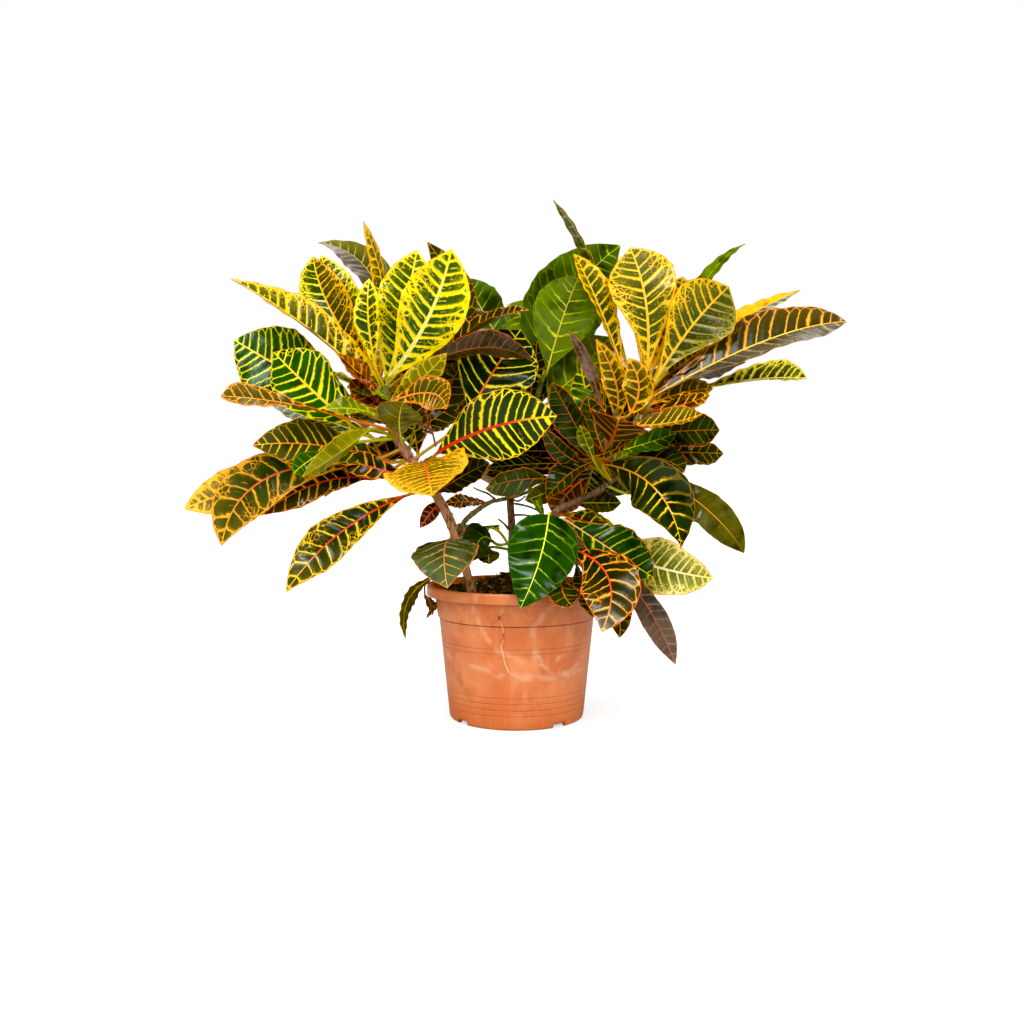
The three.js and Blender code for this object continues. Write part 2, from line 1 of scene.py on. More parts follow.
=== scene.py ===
# A croton in a nursery pot: the plastic pot, its soil, the woody stems and the leafy shoots that they carry.
# Every piece is worked out in millimetres and put in its mesh in metres.
from functools import partial
import bpy
import numpy as np
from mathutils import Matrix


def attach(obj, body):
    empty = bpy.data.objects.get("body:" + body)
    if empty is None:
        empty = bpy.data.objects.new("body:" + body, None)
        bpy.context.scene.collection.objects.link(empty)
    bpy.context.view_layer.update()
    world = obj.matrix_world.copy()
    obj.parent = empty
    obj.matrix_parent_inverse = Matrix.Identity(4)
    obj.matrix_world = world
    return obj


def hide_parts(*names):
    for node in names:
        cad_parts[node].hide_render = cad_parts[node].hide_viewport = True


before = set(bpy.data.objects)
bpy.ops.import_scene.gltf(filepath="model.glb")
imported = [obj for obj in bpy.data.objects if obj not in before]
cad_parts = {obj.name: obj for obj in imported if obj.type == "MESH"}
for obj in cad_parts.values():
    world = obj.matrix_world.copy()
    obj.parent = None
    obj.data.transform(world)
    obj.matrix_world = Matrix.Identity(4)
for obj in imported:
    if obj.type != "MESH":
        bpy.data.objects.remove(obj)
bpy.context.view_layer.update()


# Nursery pot. One injection moulding of terracotta-coloured polypropylene: a tapered body with fine turned
# lines, a deeper collar above a step, a rolled rim, and notches at the foot through which water runs out.
POT_HEIGHT = 131.5
RIM_RADIUS = 89.0
RIM_FOOT_Z = 121.5
COLLAR_FOOT_Z = 100.3
COLLAR_TOP_RADIUS = 81.2
COLLAR_FOOT_RADIUS = 78.3
BODY_TOP_RADIUS = 77.0
BODY_FOOT_RADIUS = 66.6
POT_WALL = 2.6
POT_FLOOR = 4.0
POT_SIDES = 240
MOULD_LINES = (78.0, 73.4, 31.0, 25.2, 19.2, 13.4)
NOTCH_ANGLES = (-52.0, 38.0, 128.0, 218.0)
NOTCH_HALF_ANGLE = 6.3
NOTCH_HEIGHT = 4.4
DRAIN_HOLES = 6
DRAIN_RADIUS = 5.0
DRAIN_CIRCLE = 42.0
DRAIN_SIDES = 24
# Where a wet cloth wiped the front: the middle and radius of each pale arc
SMEARS = (((20, -70, 125), 60), ((45, -55, 90), 36), ((55, -60, 562), 512))
MM = 0.001
TIMES = {"operation": "MULTIPLY"}
PLUS = {"operation": "ADD"}
MINUS = {"operation": "SUBTRACT"}
TIMES_PLUS = {"operation": "MULTIPLY_ADD"}
SIZE_OF = {"operation": "ABSOLUTE"}
SMOOTH = {"interpolation_type": "SMOOTHSTEP"}
TINT = {"data_type": "RGBA"}


def colour(hex_code):
    """Linear colour of an sRGB hex value: a channel c above 0.04045 becomes ((c + 0.055) / 1.055) to the
    power 2.4, and a darker one c / 12.92."""
    srgb = np.array([int(hex_code[i:i + 2], 16) for i in (1, 3, 5)]) / 255
    linear = np.where(srgb > 0.04045, ((srgb + 0.055) / 1.055) ** 2.4, srgb / 12.92)
    return (*linear.tolist(), 1.0)


def add_node(material, kind, *inputs, out=0, **settings):
    """Adds a shader node and gives back its socket number out. Inputs are sockets or constants in the node's
    own order, of those in use, and None leaves one as it is. Settings are properties, or inputs by name."""
    node = material.node_tree.nodes.new("ShaderNode" + kind)
    for name, value in settings.items():
        if name not in node.inputs:
            setattr(node, name, value)
    named = [(node.inputs[name], value) for name, value in settings.items() if name in node.inputs]
    for socket, value in [*zip([socket for socket in node.inputs if socket.enabled], inputs), *named]:
        if isinstance(value, bpy.types.NodeSocket):
            material.node_tree.links.new(value, socket)
        elif value is not None:
            socket.default_value = value
    return [socket for socket in node.outputs if socket.enabled][out]


def new_material(name):
    """Empty node material, and the call that adds a node to it."""
    material = bpy.data.materials.new(name)
    material.use_nodes = True
    return material, partial(add_node, material)


def surface(material, base, roughness, height, height_mm, **constants):
    """Joins colour, roughness and a bump of height_mm to the material's shader, and sets its constants."""
    links, shader = material.node_tree.links, material.node_tree.nodes["Principled BSDF"]
    links.new(base, shader.inputs["Base Color"])
    links.new(roughness, shader.inputs["Roughness"])
    links.new(add_node(material, "Bump", Distance=height_mm * MM, Height=height), shader.inputs["Normal"])
    for name, value in constants.items():
        shader.inputs[name.replace("_", " ")].default_value = value
    return material


def build(name, points, faces, material, slot, replaces=(), layers=None, values=None):
    """Mesh piece from points in mm, an array (n, 3), and faces, a list of arrays (m, corners). Layers are UV
    maps over the faces' corners in order, and values are numbers or colours over the points."""
    mesh = bpy.data.meshes.new(name)
    corners = np.concatenate([face.ravel() for face in faces])
    totals = np.concatenate([np.full(len(face), face.shape[1]) for face in faces])
    mesh.vertices.add(len(points))
    mesh.vertices.foreach_set("co", (np.asarray(points) * MM).astype(np.float32).ravel())
    mesh.loops.add(len(corners))
    mesh.loops.foreach_set("vertex_index", corners.astype(np.int32))
    mesh.polygons.add(len(totals))
    mesh.polygons.foreach_set("loop_start", (np.cumsum(totals) - totals).astype(np.int32))
    mesh.polygons.foreach_set("use_smooth", np.ones(len(totals), bool))
    mesh.update(calc_edges=True)
    for layer, uv in (layers or {}).items():
        mesh.uv_layers.new(name=layer).data.foreach_set("uv", uv.astype(np.float32).ravel())
    for attribute, value in (values or {}).items():
        kind, field = ("FLOAT", "value") if value.ndim == 1 else ("FLOAT_COLOR", "color")
        numbers = mesh.attributes.new(attribute, kind, "POINT").data
        numbers.foreach_set(field, value.astype(np.float32).ravel())
    mesh.set_sharp_from_angle(angle=np.radians(50))
    piece = bpy.data.objects.new(name, mesh)
    bpy.context.scene.collection.objects.link(piece)
    mesh.materials.append(material)
    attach(piece, "root")
    if replaces:
        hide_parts(*replaces)
    return piece


def ring_faces(rings, corners, start=0):
    """Quads between rings of corners that close on themselves, and the two end caps, as index arrays. They
    face outwards where the corners run counter-clockwise, seen against the way from first ring to last."""
    ring, corner = np.meshgrid(np.arange(rings - 1), np.arange(corners), indexing="ij")
    near = start + ring * corners + corner
    beside = start + ring * corners + (corner + 1) % corners
    quads = np.stack([near, beside, beside + corners, near + corners], axis=-1).reshape(-1, 4)
    first = start + np.arange(corners)[None, ::-1]
    last = start + (rings - 1) * corners + np.arange(corners)[None, :]
    return [quads, first, last]


def joined(shells):
    """Points and face groups of separate closed shells as one mesh. Each shell is an array of size
    (rings, corners, 3), and all have the same number of corners."""
    starts = np.cumsum([0] + [shell.size // 3 for shell in shells])
    groups = zip(*(ring_faces(*shell.shape[:2], start) for shell, start in zip(shells, starts)))
    points = np.concatenate([shell.reshape(-1, 3) for shell in shells])
    return points, [np.concatenate(group) for group in groups]


def wall_radius(z):
    """Outer radius of the wall under the rim: two straight tapers with the collar's step between them, less a
    bell-shaped groove at each moulding line."""
    body = np.interp(z, [0, COLLAR_FOOT_Z], [BODY_FOOT_RADIUS, BODY_TOP_RADIUS])
    collar = np.interp(z, [COLLAR_FOOT_Z, RIM_FOOT_Z], [COLLAR_FOOT_RADIUS, COLLAR_TOP_RADIUS])
    groove = sum(0.28 * np.exp(-((z - line) / 0.5) ** 2) for line in MOULD_LINES)
    return np.where(z < COLLAR_FOOT_Z, body, collar) - groove


def arc(r, z, radius, from_degrees, to_degrees, count=7):
    """Points (r, z) of a circular arc about (r, z)."""
    angle = np.radians(np.linspace(from_degrees, to_degrees, count))
    return np.stack([r + radius * np.cos(angle), z + radius * np.sin(angle)], axis=-1)


def wall(heights, inset=0.0):
    return np.stack([wall_radius(heights) - inset, heights], axis=-1)


def pot_profile():
    """Closed half section of the pot, from the middle of its underside up the outside and down the inside."""
    lines = np.concatenate([line + np.linspace(-1.6, 1.6, 9) for line in MOULD_LINES])
    body = np.sort(np.concatenate([np.linspace(5, COLLAR_FOOT_Z - 2, 24), lines]))
    inner = np.linspace(RIM_FOOT_Z - 4, COLLAR_FOOT_Z + 2, 5)
    lower = np.linspace(COLLAR_FOOT_Z - 4, POT_FLOOR + 1, 12)
    return np.concatenate([
        [[1.0, 2.4], [30.0, 2.4], [52.0, 2.4], [62.3, 2.4], [62.9, 0.0]],
        arc(BODY_FOOT_RADIUS - 2.4, 2.4, 2.4, -88, -8), wall(body),
        [[BODY_TOP_RADIUS, COLLAR_FOOT_Z - 0.9], [BODY_TOP_RADIUS - 0.25, COLLAR_FOOT_Z - 0.4]],
        arc(COLLAR_FOOT_RADIUS - 0.8, COLLAR_FOOT_Z + 0.6, 0.8, -80, 0, 5),
        wall(np.linspace(COLLAR_FOOT_Z + 3, RIM_FOOT_Z - 2.5, 12)),
        [[COLLAR_TOP_RADIUS + 0.1, RIM_FOOT_Z - 1], [COLLAR_TOP_RADIUS + 0.9, RIM_FOOT_Z - 0.1]],
        arc(RIM_RADIUS - 1.3, RIM_FOOT_Z + 1.2, 1.3, -90, 0),
        [[RIM_RADIUS - 0.15, RIM_FOOT_Z + 4], [RIM_RADIUS - 0.1, RIM_FOOT_Z + 8]],
        arc(RIM_RADIUS - 2.1, POT_HEIGHT - 2.1, 2.1, 0, 92),
        arc(RIM_RADIUS - 4, POT_HEIGHT - 1.4, 1.4, 90, 176),
        [[RIM_RADIUS - 5.6, POT_HEIGHT - 4.5]], wall(inner, POT_WALL), wall(lower, POT_WALL),
        [[62.0, POT_FLOOR], [30.0, POT_FLOOR], [1.0, POT_FLOOR]],
    ])


def turned(profile, sides):
    """Rings of a profile (r, z) about the pot's axis, as an array (points, sides, 3)."""
    angle = np.radians(np.arange(sides) * 360 / sides)
    r, z = profile[:, :1], profile[:, 1:]
    return np.stack([r * np.cos(angle), r * np.sin(angle), z + 0 * angle], axis=-1)


def notched(rings):
    """Lifts the outer foot to NOTCH_HEIGHT where the angle from a notch's middle is under its half angle."""
    angle = np.degrees(np.arctan2(rings[..., 1], rings[..., 0])) + 90
    off = [np.abs((angle - middle + 180) % 360 - 180) for middle in NOTCH_ANGLES]
    inside = (np.min(off, axis=0) < NOTCH_HALF_ANGLE) & (np.hypot(rings[..., 0], rings[..., 1]) > 62.7)
    rings[..., 2] = np.where(inside & (rings[..., 2] < NOTCH_HEIGHT), NOTCH_HEIGHT, rings[..., 2])
    return rings


def pot_plastic():
    """Polypropylene, injection moulded and weathered outdoors: satin orange-brown skin that dries to chalky
    smears, gathers dirt and painted shade in its lines and under the rim, darkens towards the foot in painted
    shade, and grows a little green at the foot."""
    material, add = new_material("weathered_moulded_polypropylene")
    place = add("TexCoord", out=3)
    height = add("SeparateXYZ", place, out=2)
    cloud = add("TexNoise", place, Scale=1 / (38 * MM), Detail=4)
    faded = add("MapRange", cloud, 0.35, 0.68, **SMOOTH)
    base = add("Mix", faded, colour("#D67442"), colour("#E48C58"), **TINT)
    drawn = add("TexNoise", add("Mapping", place, Scale=(1, 1, 0.07)), Scale=1 / (5 * MM), Detail=3)
    streaks = add("MapRange", drawn, 0.52, 0.75, 0, 0.3, **SMOOTH)
    base = add("Mix", streaks, base, colour("#E6A077"), **TINT)
    chalk = add("TexNoise", place, Scale=1 / (21 * MM), Detail=5, Roughness=0.65)
    rubbed = add("MapRange", chalk, 0.56, 0.72, **SMOOTH)
    base = add("Mix", add("Math", rubbed, 0.4, **TIMES), base, colour("#EDB28F"), **TINT)
    blotch = add("TexNoise", place, Scale=1 / (27 * MM), Detail=4)
    base = add("Mix", add("MapRange", blotch, 0.58, 0.68, 0, 0.35, **SMOOTH), base, colour("#B25A2E"), **TINT)
    # Painted shade: a deeper, darker orange towards the foot, patchy with the cloud
    shaded_foot = add("MapRange", height, 46 * MM, 8 * MM, **SMOOTH)
    shaded_foot = add("Math", shaded_foot, add("Math", cloud, 0.9, **TIMES), **TIMES)
    base = add("Mix", shaded_foot, base, colour("#D0682E"), **TINT)
    wobble = add("TexNoise", place, Scale=1 / (18 * MM), Detail=2)
    patchy = add("MapRange", add("TexNoise", place, Scale=1 / (14 * MM), Detail=5), 0.4, 0.6, **SMOOTH)
    for middle, radius in SMEARS:
        apart = add("VectorMath", place, [value * MM for value in middle], operation="DISTANCE")
        ring = add("Math", add("Math", wobble, 12 * MM, apart, **TIMES_PLUS), (radius + 6) * MM, **MINUS)
        smear = add("MapRange", add("Math", ring, **SIZE_OF), 5 * MM, 0.5 * MM, 0, 0.35, **SMOOTH)
        base = add("Mix", add("Math", smear, patchy, **TIMES), base, colour("#F2C2A2"), **TINT)
    # Dirt and painted shade in the lines, the step and under the rim, green growth at the foot, and dark grit
    # all over
    dirt = add("MapRange", add("TexNoise", place, Scale=1 / (9 * MM), Detail=4), 0.3, 0.7, **SMOOTH)
    for line, reach, share in ((COLLAR_FOOT_Z - 0.4, 0.9, 0.75), (RIM_FOOT_Z - 0.7, 1.2, 0.6),
                               *((line, 0.6, 0.35) for line in MOULD_LINES)):
        off = add("Math", add("Math", height, line * MM, **MINUS), **SIZE_OF)
        near = add("MapRange", off, reach * MM, reach * 0.4 * MM, **SMOOTH)
        grime_and_shade = add("Math", near, add("Math", dirt, share * 0.6, share * 0.4, **TIMES_PLUS), **TIMES)
        base = add("Mix", grime_and_shade, base, colour("#6A3218"), **TINT)
    mossy = add("MapRange", add("TexNoise", place, Scale=1 / (7 * MM), Detail=3), 0.54, 0.66, **SMOOTH)
    foot = add("Math", add("MapRange", height, 10 * MM, 1 * MM, 0, 0.75, **SMOOTH), mossy, **TIMES)
    base = add("Mix", foot, base, colour("#8A8440"), **TINT)
    grit = add("TexNoise", place, Scale=1 / (1.6 * MM), Detail=2)
    grit = add("MapRange", grit, 0.66, 0.74, 0, 0.55, **SMOOTH)
    base = add("Mix", add("Math", grit, dirt, **TIMES), base, colour("#7A4426"), **TINT)
    rough = add("Math", rubbed, 0.16, 0.42, **TIMES_PLUS)
    grain = add("TexNoise", place, Scale=1 / (0.9 * MM), Detail=3)
    bumps = add("Math", grain, 0.5, add("TexNoise", place, Scale=1 / (12 * MM), Detail=2), **TIMES_PLUS)
    return surface(material, base, rough, bumps, 0.35, IOR=1.49)


def cut_drain_holes(pot):
    """Cuts the round holes of the floor, with a cylinder for each, joined in one mesh."""
    hole = turned(np.array([[DRAIN_RADIUS, -5.0], [DRAIN_RADIUS, 2 * POT_FLOOR + 1]]), DRAIN_SIDES)
    angles = np.radians(360 / DRAIN_HOLES * (np.arange(DRAIN_HOLES) + 0.5))
    middles = DRAIN_CIRCLE * np.stack([np.cos(angles), np.sin(angles), 0 * angles], axis=-1)
    shells = [hole + middle for middle in middles]
    cutter = build("drain_cutter", *joined(shells), pot.data.materials[0], "pot_plastic")
    cut = pot.modifiers.new("drain_holes", "BOOLEAN")
    cut.object = cutter
    cut.solver = "EXACT"
    bpy.context.view_layer.update()
    cut_mesh = bpy.data.meshes.new_from_object(pot.evaluated_get(bpy.context.evaluated_depsgraph_get()))
    pot.modifiers.clear()
    pot.data = cut_mesh
    bpy.data.objects.remove(cutter)


pot_rings = notched(turned(pot_profile(), POT_SIDES))
pot = build("pot_moulding", *joined([pot_rings]), pot_plastic(), "pot_plastic", ["pot"])
cut_drain_holes(pot)


# Potting soil. Dark peat with composted bark, pressed in round the roots and mounded against the middle stem.
# Its surface is crumbs, chips and fibres that lie loose on one another.
SOIL_Z = 124.5
MOUND = (-4.0, 38.0)
MOUND_HEIGHT = 12.5
MOUND_SPREAD = 26.0
SOIL_LUMP = 1.6
GAP = 0.3
SOIL_SIDES = 240
SURFACE_RINGS = 94
SCATTER_RADIUS = 75.0
CRUMBS = 2600
CHIPS = 150
PERLITE = 90
FIBRES = 420
FIBRE_RINGS = 7
FIBRE_SIDES = 5
soil_draw = np.random.default_rng(11)


def waves(places, size_mm, count, draw):
    """Rough surface from many sine waves in random directions, each of about size_mm, for places (..., n)."""
    turn = draw.normal(size=(count, places.shape[-1]))
    turn *= (2 * np.pi / (size_mm * draw.uniform(0.6, 1.8, count)) / np.linalg.norm(turn, axis=1))[:, None]
    phase = draw.uniform(0, 2 * np.pi, count)
    return np.sin(places @ turn.T + phase).sum(axis=-1) / np.sqrt(count)


def soil_height(x, y):
    """Surface of the soil: level with lumps of two sine products, and a bell-shaped mound round the middle
    stem."""
    mound = MOUND_HEIGHT * np.exp(-((x - MOUND[0]) ** 2 + (y - MOUND[1]) ** 2) / MOUND_SPREAD ** 2)
    lumps = np.sin(x * 0.21 + 1.3) * np.sin(y * 0.26) + 0.6 * np.sin(x * 0.47 - y * 0.39)
    return SOIL_Z + mound + SOIL_LUMP * lumps


def soil_rings():
    """Rings from the middle of the floor up the wall and in over the surface, which carries finer clods."""
    up = np.array([POT_FLOOR + GAP, 50, COLLAR_FOOT_Z - 3, COLLAR_FOOT_Z + 2, RIM_FOOT_Z - 4.5])
    side = np.stack([wall_radius(up) - POT_WALL - GAP, up], axis=-1)
    top = np.stack([np.linspace(78.9, 0.6, SURFACE_RINGS), np.full(SURFACE_RINGS, SOIL_Z)], axis=-1)
    rings = turned(np.concatenate([[[1.0, POT_FLOOR + GAP]], side, top]), SOIL_SIDES)
    surface_places = rings[-SURFACE_RINGS:, :, :2]
    x, y = surface_places[..., 0], surface_places[..., 1]
    clods = waves(surface_places, 7, 40, soil_draw) + 0.6 * waves(surface_places, 3, 50, soil_draw)
    sunk = np.clip((np.hypot(x, y) - 73) / 6, 0, 1) * 1.5
    rings[-SURFACE_RINGS:, :, 2] = soil_height(x, y) + 0.75 * clods - sunk - 0.6
    return rings


def scattered(shape, groups, count, size, squash, lift, within=SCATTER_RADIUS):
    """Copies of a small shape strewn over the soil at random, each turned, sized and dented at random and
    half sunk, as points and face groups. Size and squash are ranges, and lift is a share of the size."""
    radius = within * np.sqrt(soil_draw.uniform(0.0, 1.0, count))
    angle = soil_draw.uniform(0, 2 * np.pi, count)
    x, y = radius * np.cos(angle), radius * np.sin(angle)
    scale = soil_draw.uniform(*size, (count, 1, 1)) * soil_draw.uniform(*squash, (count, 1, 3))
    turn = np.linalg.qr(soil_draw.normal(size=(count, 3, 3)))[0]
    turn *= np.sign(np.linalg.det(turn))[:, None, None]
    dented = shape * (1 + 0.25 * soil_draw.uniform(-1, 1, (count, len(shape), 1)))
    places = dented * scale @ turn
    places += np.stack([x, y, soil_height(x, y) + lift * scale[:, 0, 0]], axis=-1)[:, None, :]
    faces = [np.concatenate([group + i * len(shape) for i in range(count)]) for group in groups]
    return places.reshape(-1, 3), faces


def ball(rings=5, sides=7):
    """Small closed lump: a sphere of a few rings in triangles, with a fan at each pole."""
    tilt = np.radians(np.linspace(-75, 75, rings))
    angle = np.arange(sides) * 2 * np.pi / sides
    flat = np.cos(tilt)[:, None]
    rise = np.sin(tilt)[:, None] + 0 * angle
    points = np.stack([flat * np.cos(angle), flat * np.sin(angle), rise], axis=-1)
    quads, *caps = ring_faces(rings, sides)
    middle = np.arange(1, sides - 1)
    fans = [np.stack([cap[0, 0 * middle], cap[0, middle], cap[0, middle + 1]], axis=-1) for cap in caps]
    return points.reshape(-1, 3), [np.concatenate([quads[:, [0, 1, 2]], quads[:, [0, 2, 3]], *fans])]


def fibre():
    """Short root fibre: rings along a double bend of two powers of the way along."""
    angle = np.arange(FIBRE_SIDES) * 2 * np.pi / FIBRE_SIDES
    along = np.linspace(-1, 1, FIBRE_RINGS)[:, None]
    points = np.stack([3.2 * along + 0 * angle, 0.9 * along ** 2 + 0.24 * np.cos(angle),
                       0.4 * along ** 3 + 0.24 * np.sin(angle)], axis=-1)
    return points.reshape(-1, 3), ring_faces(FIBRE_RINGS, FIBRE_SIDES)


def peat():
    """Peat and composted bark, milled and wetted: near black where damp, with tan fibre and brown crumbs."""
    material, add = new_material("damp_milled_peat")
    place = add("TexCoord", out=3)
    crumbs = add("TexNoise", place, Scale=1 / (3.2 * MM), Detail=5, Roughness=0.7)
    dry = add("MapRange", crumbs, 0.38, 0.68, **SMOOTH)
    base = add("Mix", dry, colour("#1C110B"), colour("#4A3121"), **TINT)
    tan = add("TexNoise", place, Scale=1 / (1.3 * MM), Detail=3)
    base = add("Mix", add("MapRange", tan, 0.62, 0.72, 0, 0.6, **SMOOTH), base, colour("#8A6443"), **TINT)
    rough = add("Math", crumbs, 0.3, 0.7, **TIMES_PLUS)
    return surface(material, base, rough, add("TexNoise", place, Scale=1 / (0.8 * MM), Detail=4), 0.7)


def bark_mulch():
    """Pine bark, shredded and composted: flaky red-brown to grey plates with a fibrous torn grain."""
    material, add = new_material("composted_pine_bark")
    place = add("TexCoord", out=3)
    hue = add("MapRange", add("TexNoise", place, Scale=1 / (5.5 * MM), Detail=3), 0.4, 0.62, **SMOOTH)
    base = add("Mix", hue, colour("#352116"), colour("#7A5236"), **TINT)
    drawn = add("Mapping", place, Scale=(1, 3.5, 2))
    grain = add("TexNoise", drawn, Scale=1 / (1.4 * MM), Detail=3)
    base = add("Mix", add("MapRange", grain, 0.45, 0.75, **SMOOTH), base, colour("#A27C58"), **TINT)
    return surface(material, base, add("Math", grain, 0.2, 0.72, **TIMES_PLUS), grain, 0.4)


def perlite():
    """Perlite, popped from volcanic glass and mixed in the peat: chalk-white grains, pits stained brown."""
    material, add = new_material("popped_perlite")
    pits = add("TexNoise", add("TexCoord", out=3), Scale=1 / (0.7 * MM), Detail=2)
    base = add("Mix", add("MapRange", pits, 0.4, 0.6, **SMOOTH), colour("#9A8468"), colour("#E6DCC8"), **TINT)
    return surface(material, base, add("Math", pits, 0.1, 0.85, **TIMES_PLUS), pits, 0.2)


peat_finish, bark_finish = peat(), bark_mulch()
build("soil_bed", *joined([soil_rings()]), peat_finish, "soil", ["soil"])
lump, lump_groups = ball()
crumbs = scattered(lump, lump_groups, CRUMBS, size=(0.7, 2.0), squash=(0.6, 1.1), lift=0.1,
                   within=SCATTER_RADIUS + 2)
build("soil_crumbs", *crumbs, peat_finish, "soil")
flake = lump * [1.0, 0.55, 0.28]
chips = scattered(flake, lump_groups, CHIPS, size=(2.2, 5.5), squash=(0.75, 1.2), lift=0.15)
build("bark_chips", *chips, bark_finish, "soil")
grains = scattered(lump, lump_groups, PERLITE, size=(0.7, 1.6), squash=(0.7, 1.1), lift=0.5)
build("perlite_grains", *grains, perlite(), "soil")
fibres = scattered(*fibre(), FIBRES, size=(0.7, 1.8), squash=(0.7, 1.3), lift=0.25)
build("soil_fibres", *fibres, bark_finish, "soil")


# Woody stems. Three cuttings struck in one pot, now woody: grey-brown bark at the soil, tan flakes above, and
# the crescent scars of fallen leaves. They stand in the soil and pass into the green wood of the shoots.
SIGHT_DISTANCE = 1026.0
SIGHT_HEIGHT = 250.0
STEM_SIDES = 18
STEM_STEP = 0.9
SCAR_PITCH = 9.0
SCAR_RISE = 0.55
SCAR_GROOVE = 0.3
# Each stem: its radius at the foot and at the top, and the places that it runs through
LEFT_WOOD = (4.6, 4.2, ((-38, -26, 80), (-45, -30, 124), (-50, -30, 144), (-54, -29, 158)))
MIDDLE_WOOD = (3.8, 3.4, ((-4, 40, 95), (-4, 38, 138), (-5, 35, 152), (-5, 32, 159)))
RIGHT_WOOD = (4.2, 3.7, ((26, 2, 85), (28, 0, 124), (30, -12, 158), (32, -22, 176)))
stem_draw = np.random.default_rng(23)


def placed(seen):
    """Place of (x, y, z) as seen from the front: x and z move with the true depth y along the eye's line."""
    x, y, z = seen
    scale = (SIGHT_DISTANCE + y) / SIGHT_DISTANCE
    return np.array([x * scale, y, SIGHT_HEIGHT + (z - SIGHT_HEIGHT) * scale])


def through(places, count):
    """Evenly spaced points of the centripetal Catmull-Rom curve through the places: each stretch is blended
    from its four nearest places by knots that are the square root of the distance apart."""
    knots = np.array([placed(place) for place in places])
    knots = np.concatenate([[2 * knots[0] - knots[1]], knots, [2 * knots[-1] - knots[-2]]])
    dense = []
    for p0, p1, p2, p3 in zip(knots, knots[1:], knots[2:], knots[3:]):
        t1, t2, t3 = np.cumsum([np.linalg.norm(b - a) ** 0.5 for a, b in ((p0, p1), (p1, p2), (p2, p3))])
        t = np.linspace(t1, t2, 60)[:, None]
        a1 = p0 + (p1 - p0) * t / t1
        a2 = p1 + (p2 - p1) * (t - t1) / (t2 - t1)
        a3 = p2 + (p3 - p2) * (t - t2) / (t3 - t2)
        b1 = a1 + (a2 - a1) * t / t2
        b2 = a2 + (a3 - a2) * (t - t1) / (t3 - t1)
        dense.append(b1 + (b2 - b1) * (t - t1) / (t2 - t1))
    return evenly(np.concatenate(dense), count)


def evenly(points, count):
    """The same polyline with its points an equal length apart."""
    length = np.concatenate([[0], np.cumsum(np.linalg.norm(np.diff(points, axis=0), axis=1))])
    steps = np.linspace(0, length[-1], count)
    return np.stack([np.interp(steps, length, ordinate) for ordinate in points.T], axis=-1)


def stepped(places, step, samples=80):
    """The curve through the places, with a point about every step mm."""
    path = through(places, samples)
    length = np.linalg.norm(np.diff(path, axis=0), axis=1).sum()
    return evenly(path, int(length / step))


def unit(vectors):
    return vectors / np.linalg.norm(vectors, axis=-1, keepdims=True)


def carried_sides(points):
    """Two side directions at each point, carried along the path without twist."""
    along = unit(np.gradient(points, axis=0))
    side = unit(np.cross(along[0], [0.3, 1.0, 0.2]))
    sides = []
    for tangent in along:
        side = unit(side - tangent * np.dot(side, tangent))
        sides.append(side)
    sides = np.array(sides)
    return sides, np.cross(along, sides)


def rod(points, radii, sides=STEM_SIDES):
    """Rings about a path: each is its point plus the radius times the cosine and sine of the angle along two
    sides. Radii are (points, 1) or (points, sides)."""
    side, other = carried_sides(points)
    angle = np.arange(sides) * 2 * np.pi / sides
    ring = side[:, None, :] * np.cos(angle)[:, None] + other[:, None, :] * np.sin(angle)[:, None]
    return points[:, None, :] + ring * np.broadcast_to(radii, (len(points), sides))[..., None]


def scarred(path, from_radius, to_radius, draw):
    """Radii of a woody stem: an even taper, slow lumps, and at each fallen leaf a crescent swelling on one
    side with a groove above it."""
    length = np.linalg.norm(np.diff(path, axis=0), axis=1).sum()
    far = np.linspace(0, length, len(path))[:, None]
    angle = np.arange(STEM_SIDES) * 2 * np.pi / STEM_SIDES
    radii = np.linspace(from_radius, to_radius, len(path))[:, None] * np.ones(STEM_SIDES)
    around = np.stack([far + 0 * angle, 6 * np.cos(angle) + 0 * far, 6 * np.sin(angle) + 0 * far], axis=-1)
    radii += 0.24 * waves(around, 14, 20, draw) + 0.2 * waves(around, 4, 24, draw)
    for i in range(int(length / SCAR_PITCH)):
        middle = (i + draw.uniform(0.2, 0.8)) * SCAR_PITCH
        facing = np.clip(np.cos(angle - i * 2.4), 0, 1) ** 1.5
        bow = middle + 1.4 * (1 - facing)
        radii += SCAR_RISE * facing * np.exp(-((far - bow) / 0.9) ** 2)
        radii -= SCAR_GROOVE * facing * np.exp(-((far - bow - 1.6) / 0.8) ** 2)
    return radii


def stem_values(path, colours):
    """Colour of each point, run evenly through the given hex colours from foot to top."""
    stops = np.array([colour(code) for code in colours])
    at = np.linspace(0, 1, len(path))
    skin = np.stack([np.interp(at, np.linspace(0, 1, len(stops)), stops[:, i]) for i in range(4)], axis=-1)
    return np.repeat(skin, STEM_SIDES, axis=0)


def stem_bark():
    """Croton bark, living: thin corky skin that splits in fine vertical flakes over pinkish young wood."""
    material, add = new_material("living_croton_bark")
    place = add("TexCoord", out=3)
    skin = add("Attribute", attribute_name="skin")
    upright = add("Mapping", place, Scale=(1, 1, 0.22))
    flakes = add("TexNoise", upright, Scale=1 / (1.9 * MM), Detail=4, Roughness=0.65)
    pale = add("Mix", 0.55, skin, colour("#B89A78"), blend_type="SCREEN", **TINT)
    dark = add("Mix", 0.92, skin, colour("#6A4A38"), blend_type="MULTIPLY", **TINT)
    base = add("Mix", add("MapRange", flakes, 0.35, 0.5, **SMOOTH), dark, skin, **TINT)
    base = add("Mix", add("MapRange", flakes, 0.55, 0.72, **SMOOTH), base, pale, **TINT)
    pores = add("TexNoise", place, Scale=1 / (1.5 * MM), Detail=2)
    base = add("Mix", add("MapRange", pores, 0.68, 0.74, 0, 0.6, **SMOOTH), base, colour("#C9A77E"), **TINT)
    return surface(material, base, add("Math", flakes, 0.3, 0.5, **TIMES_PLUS), flakes, 0.9)


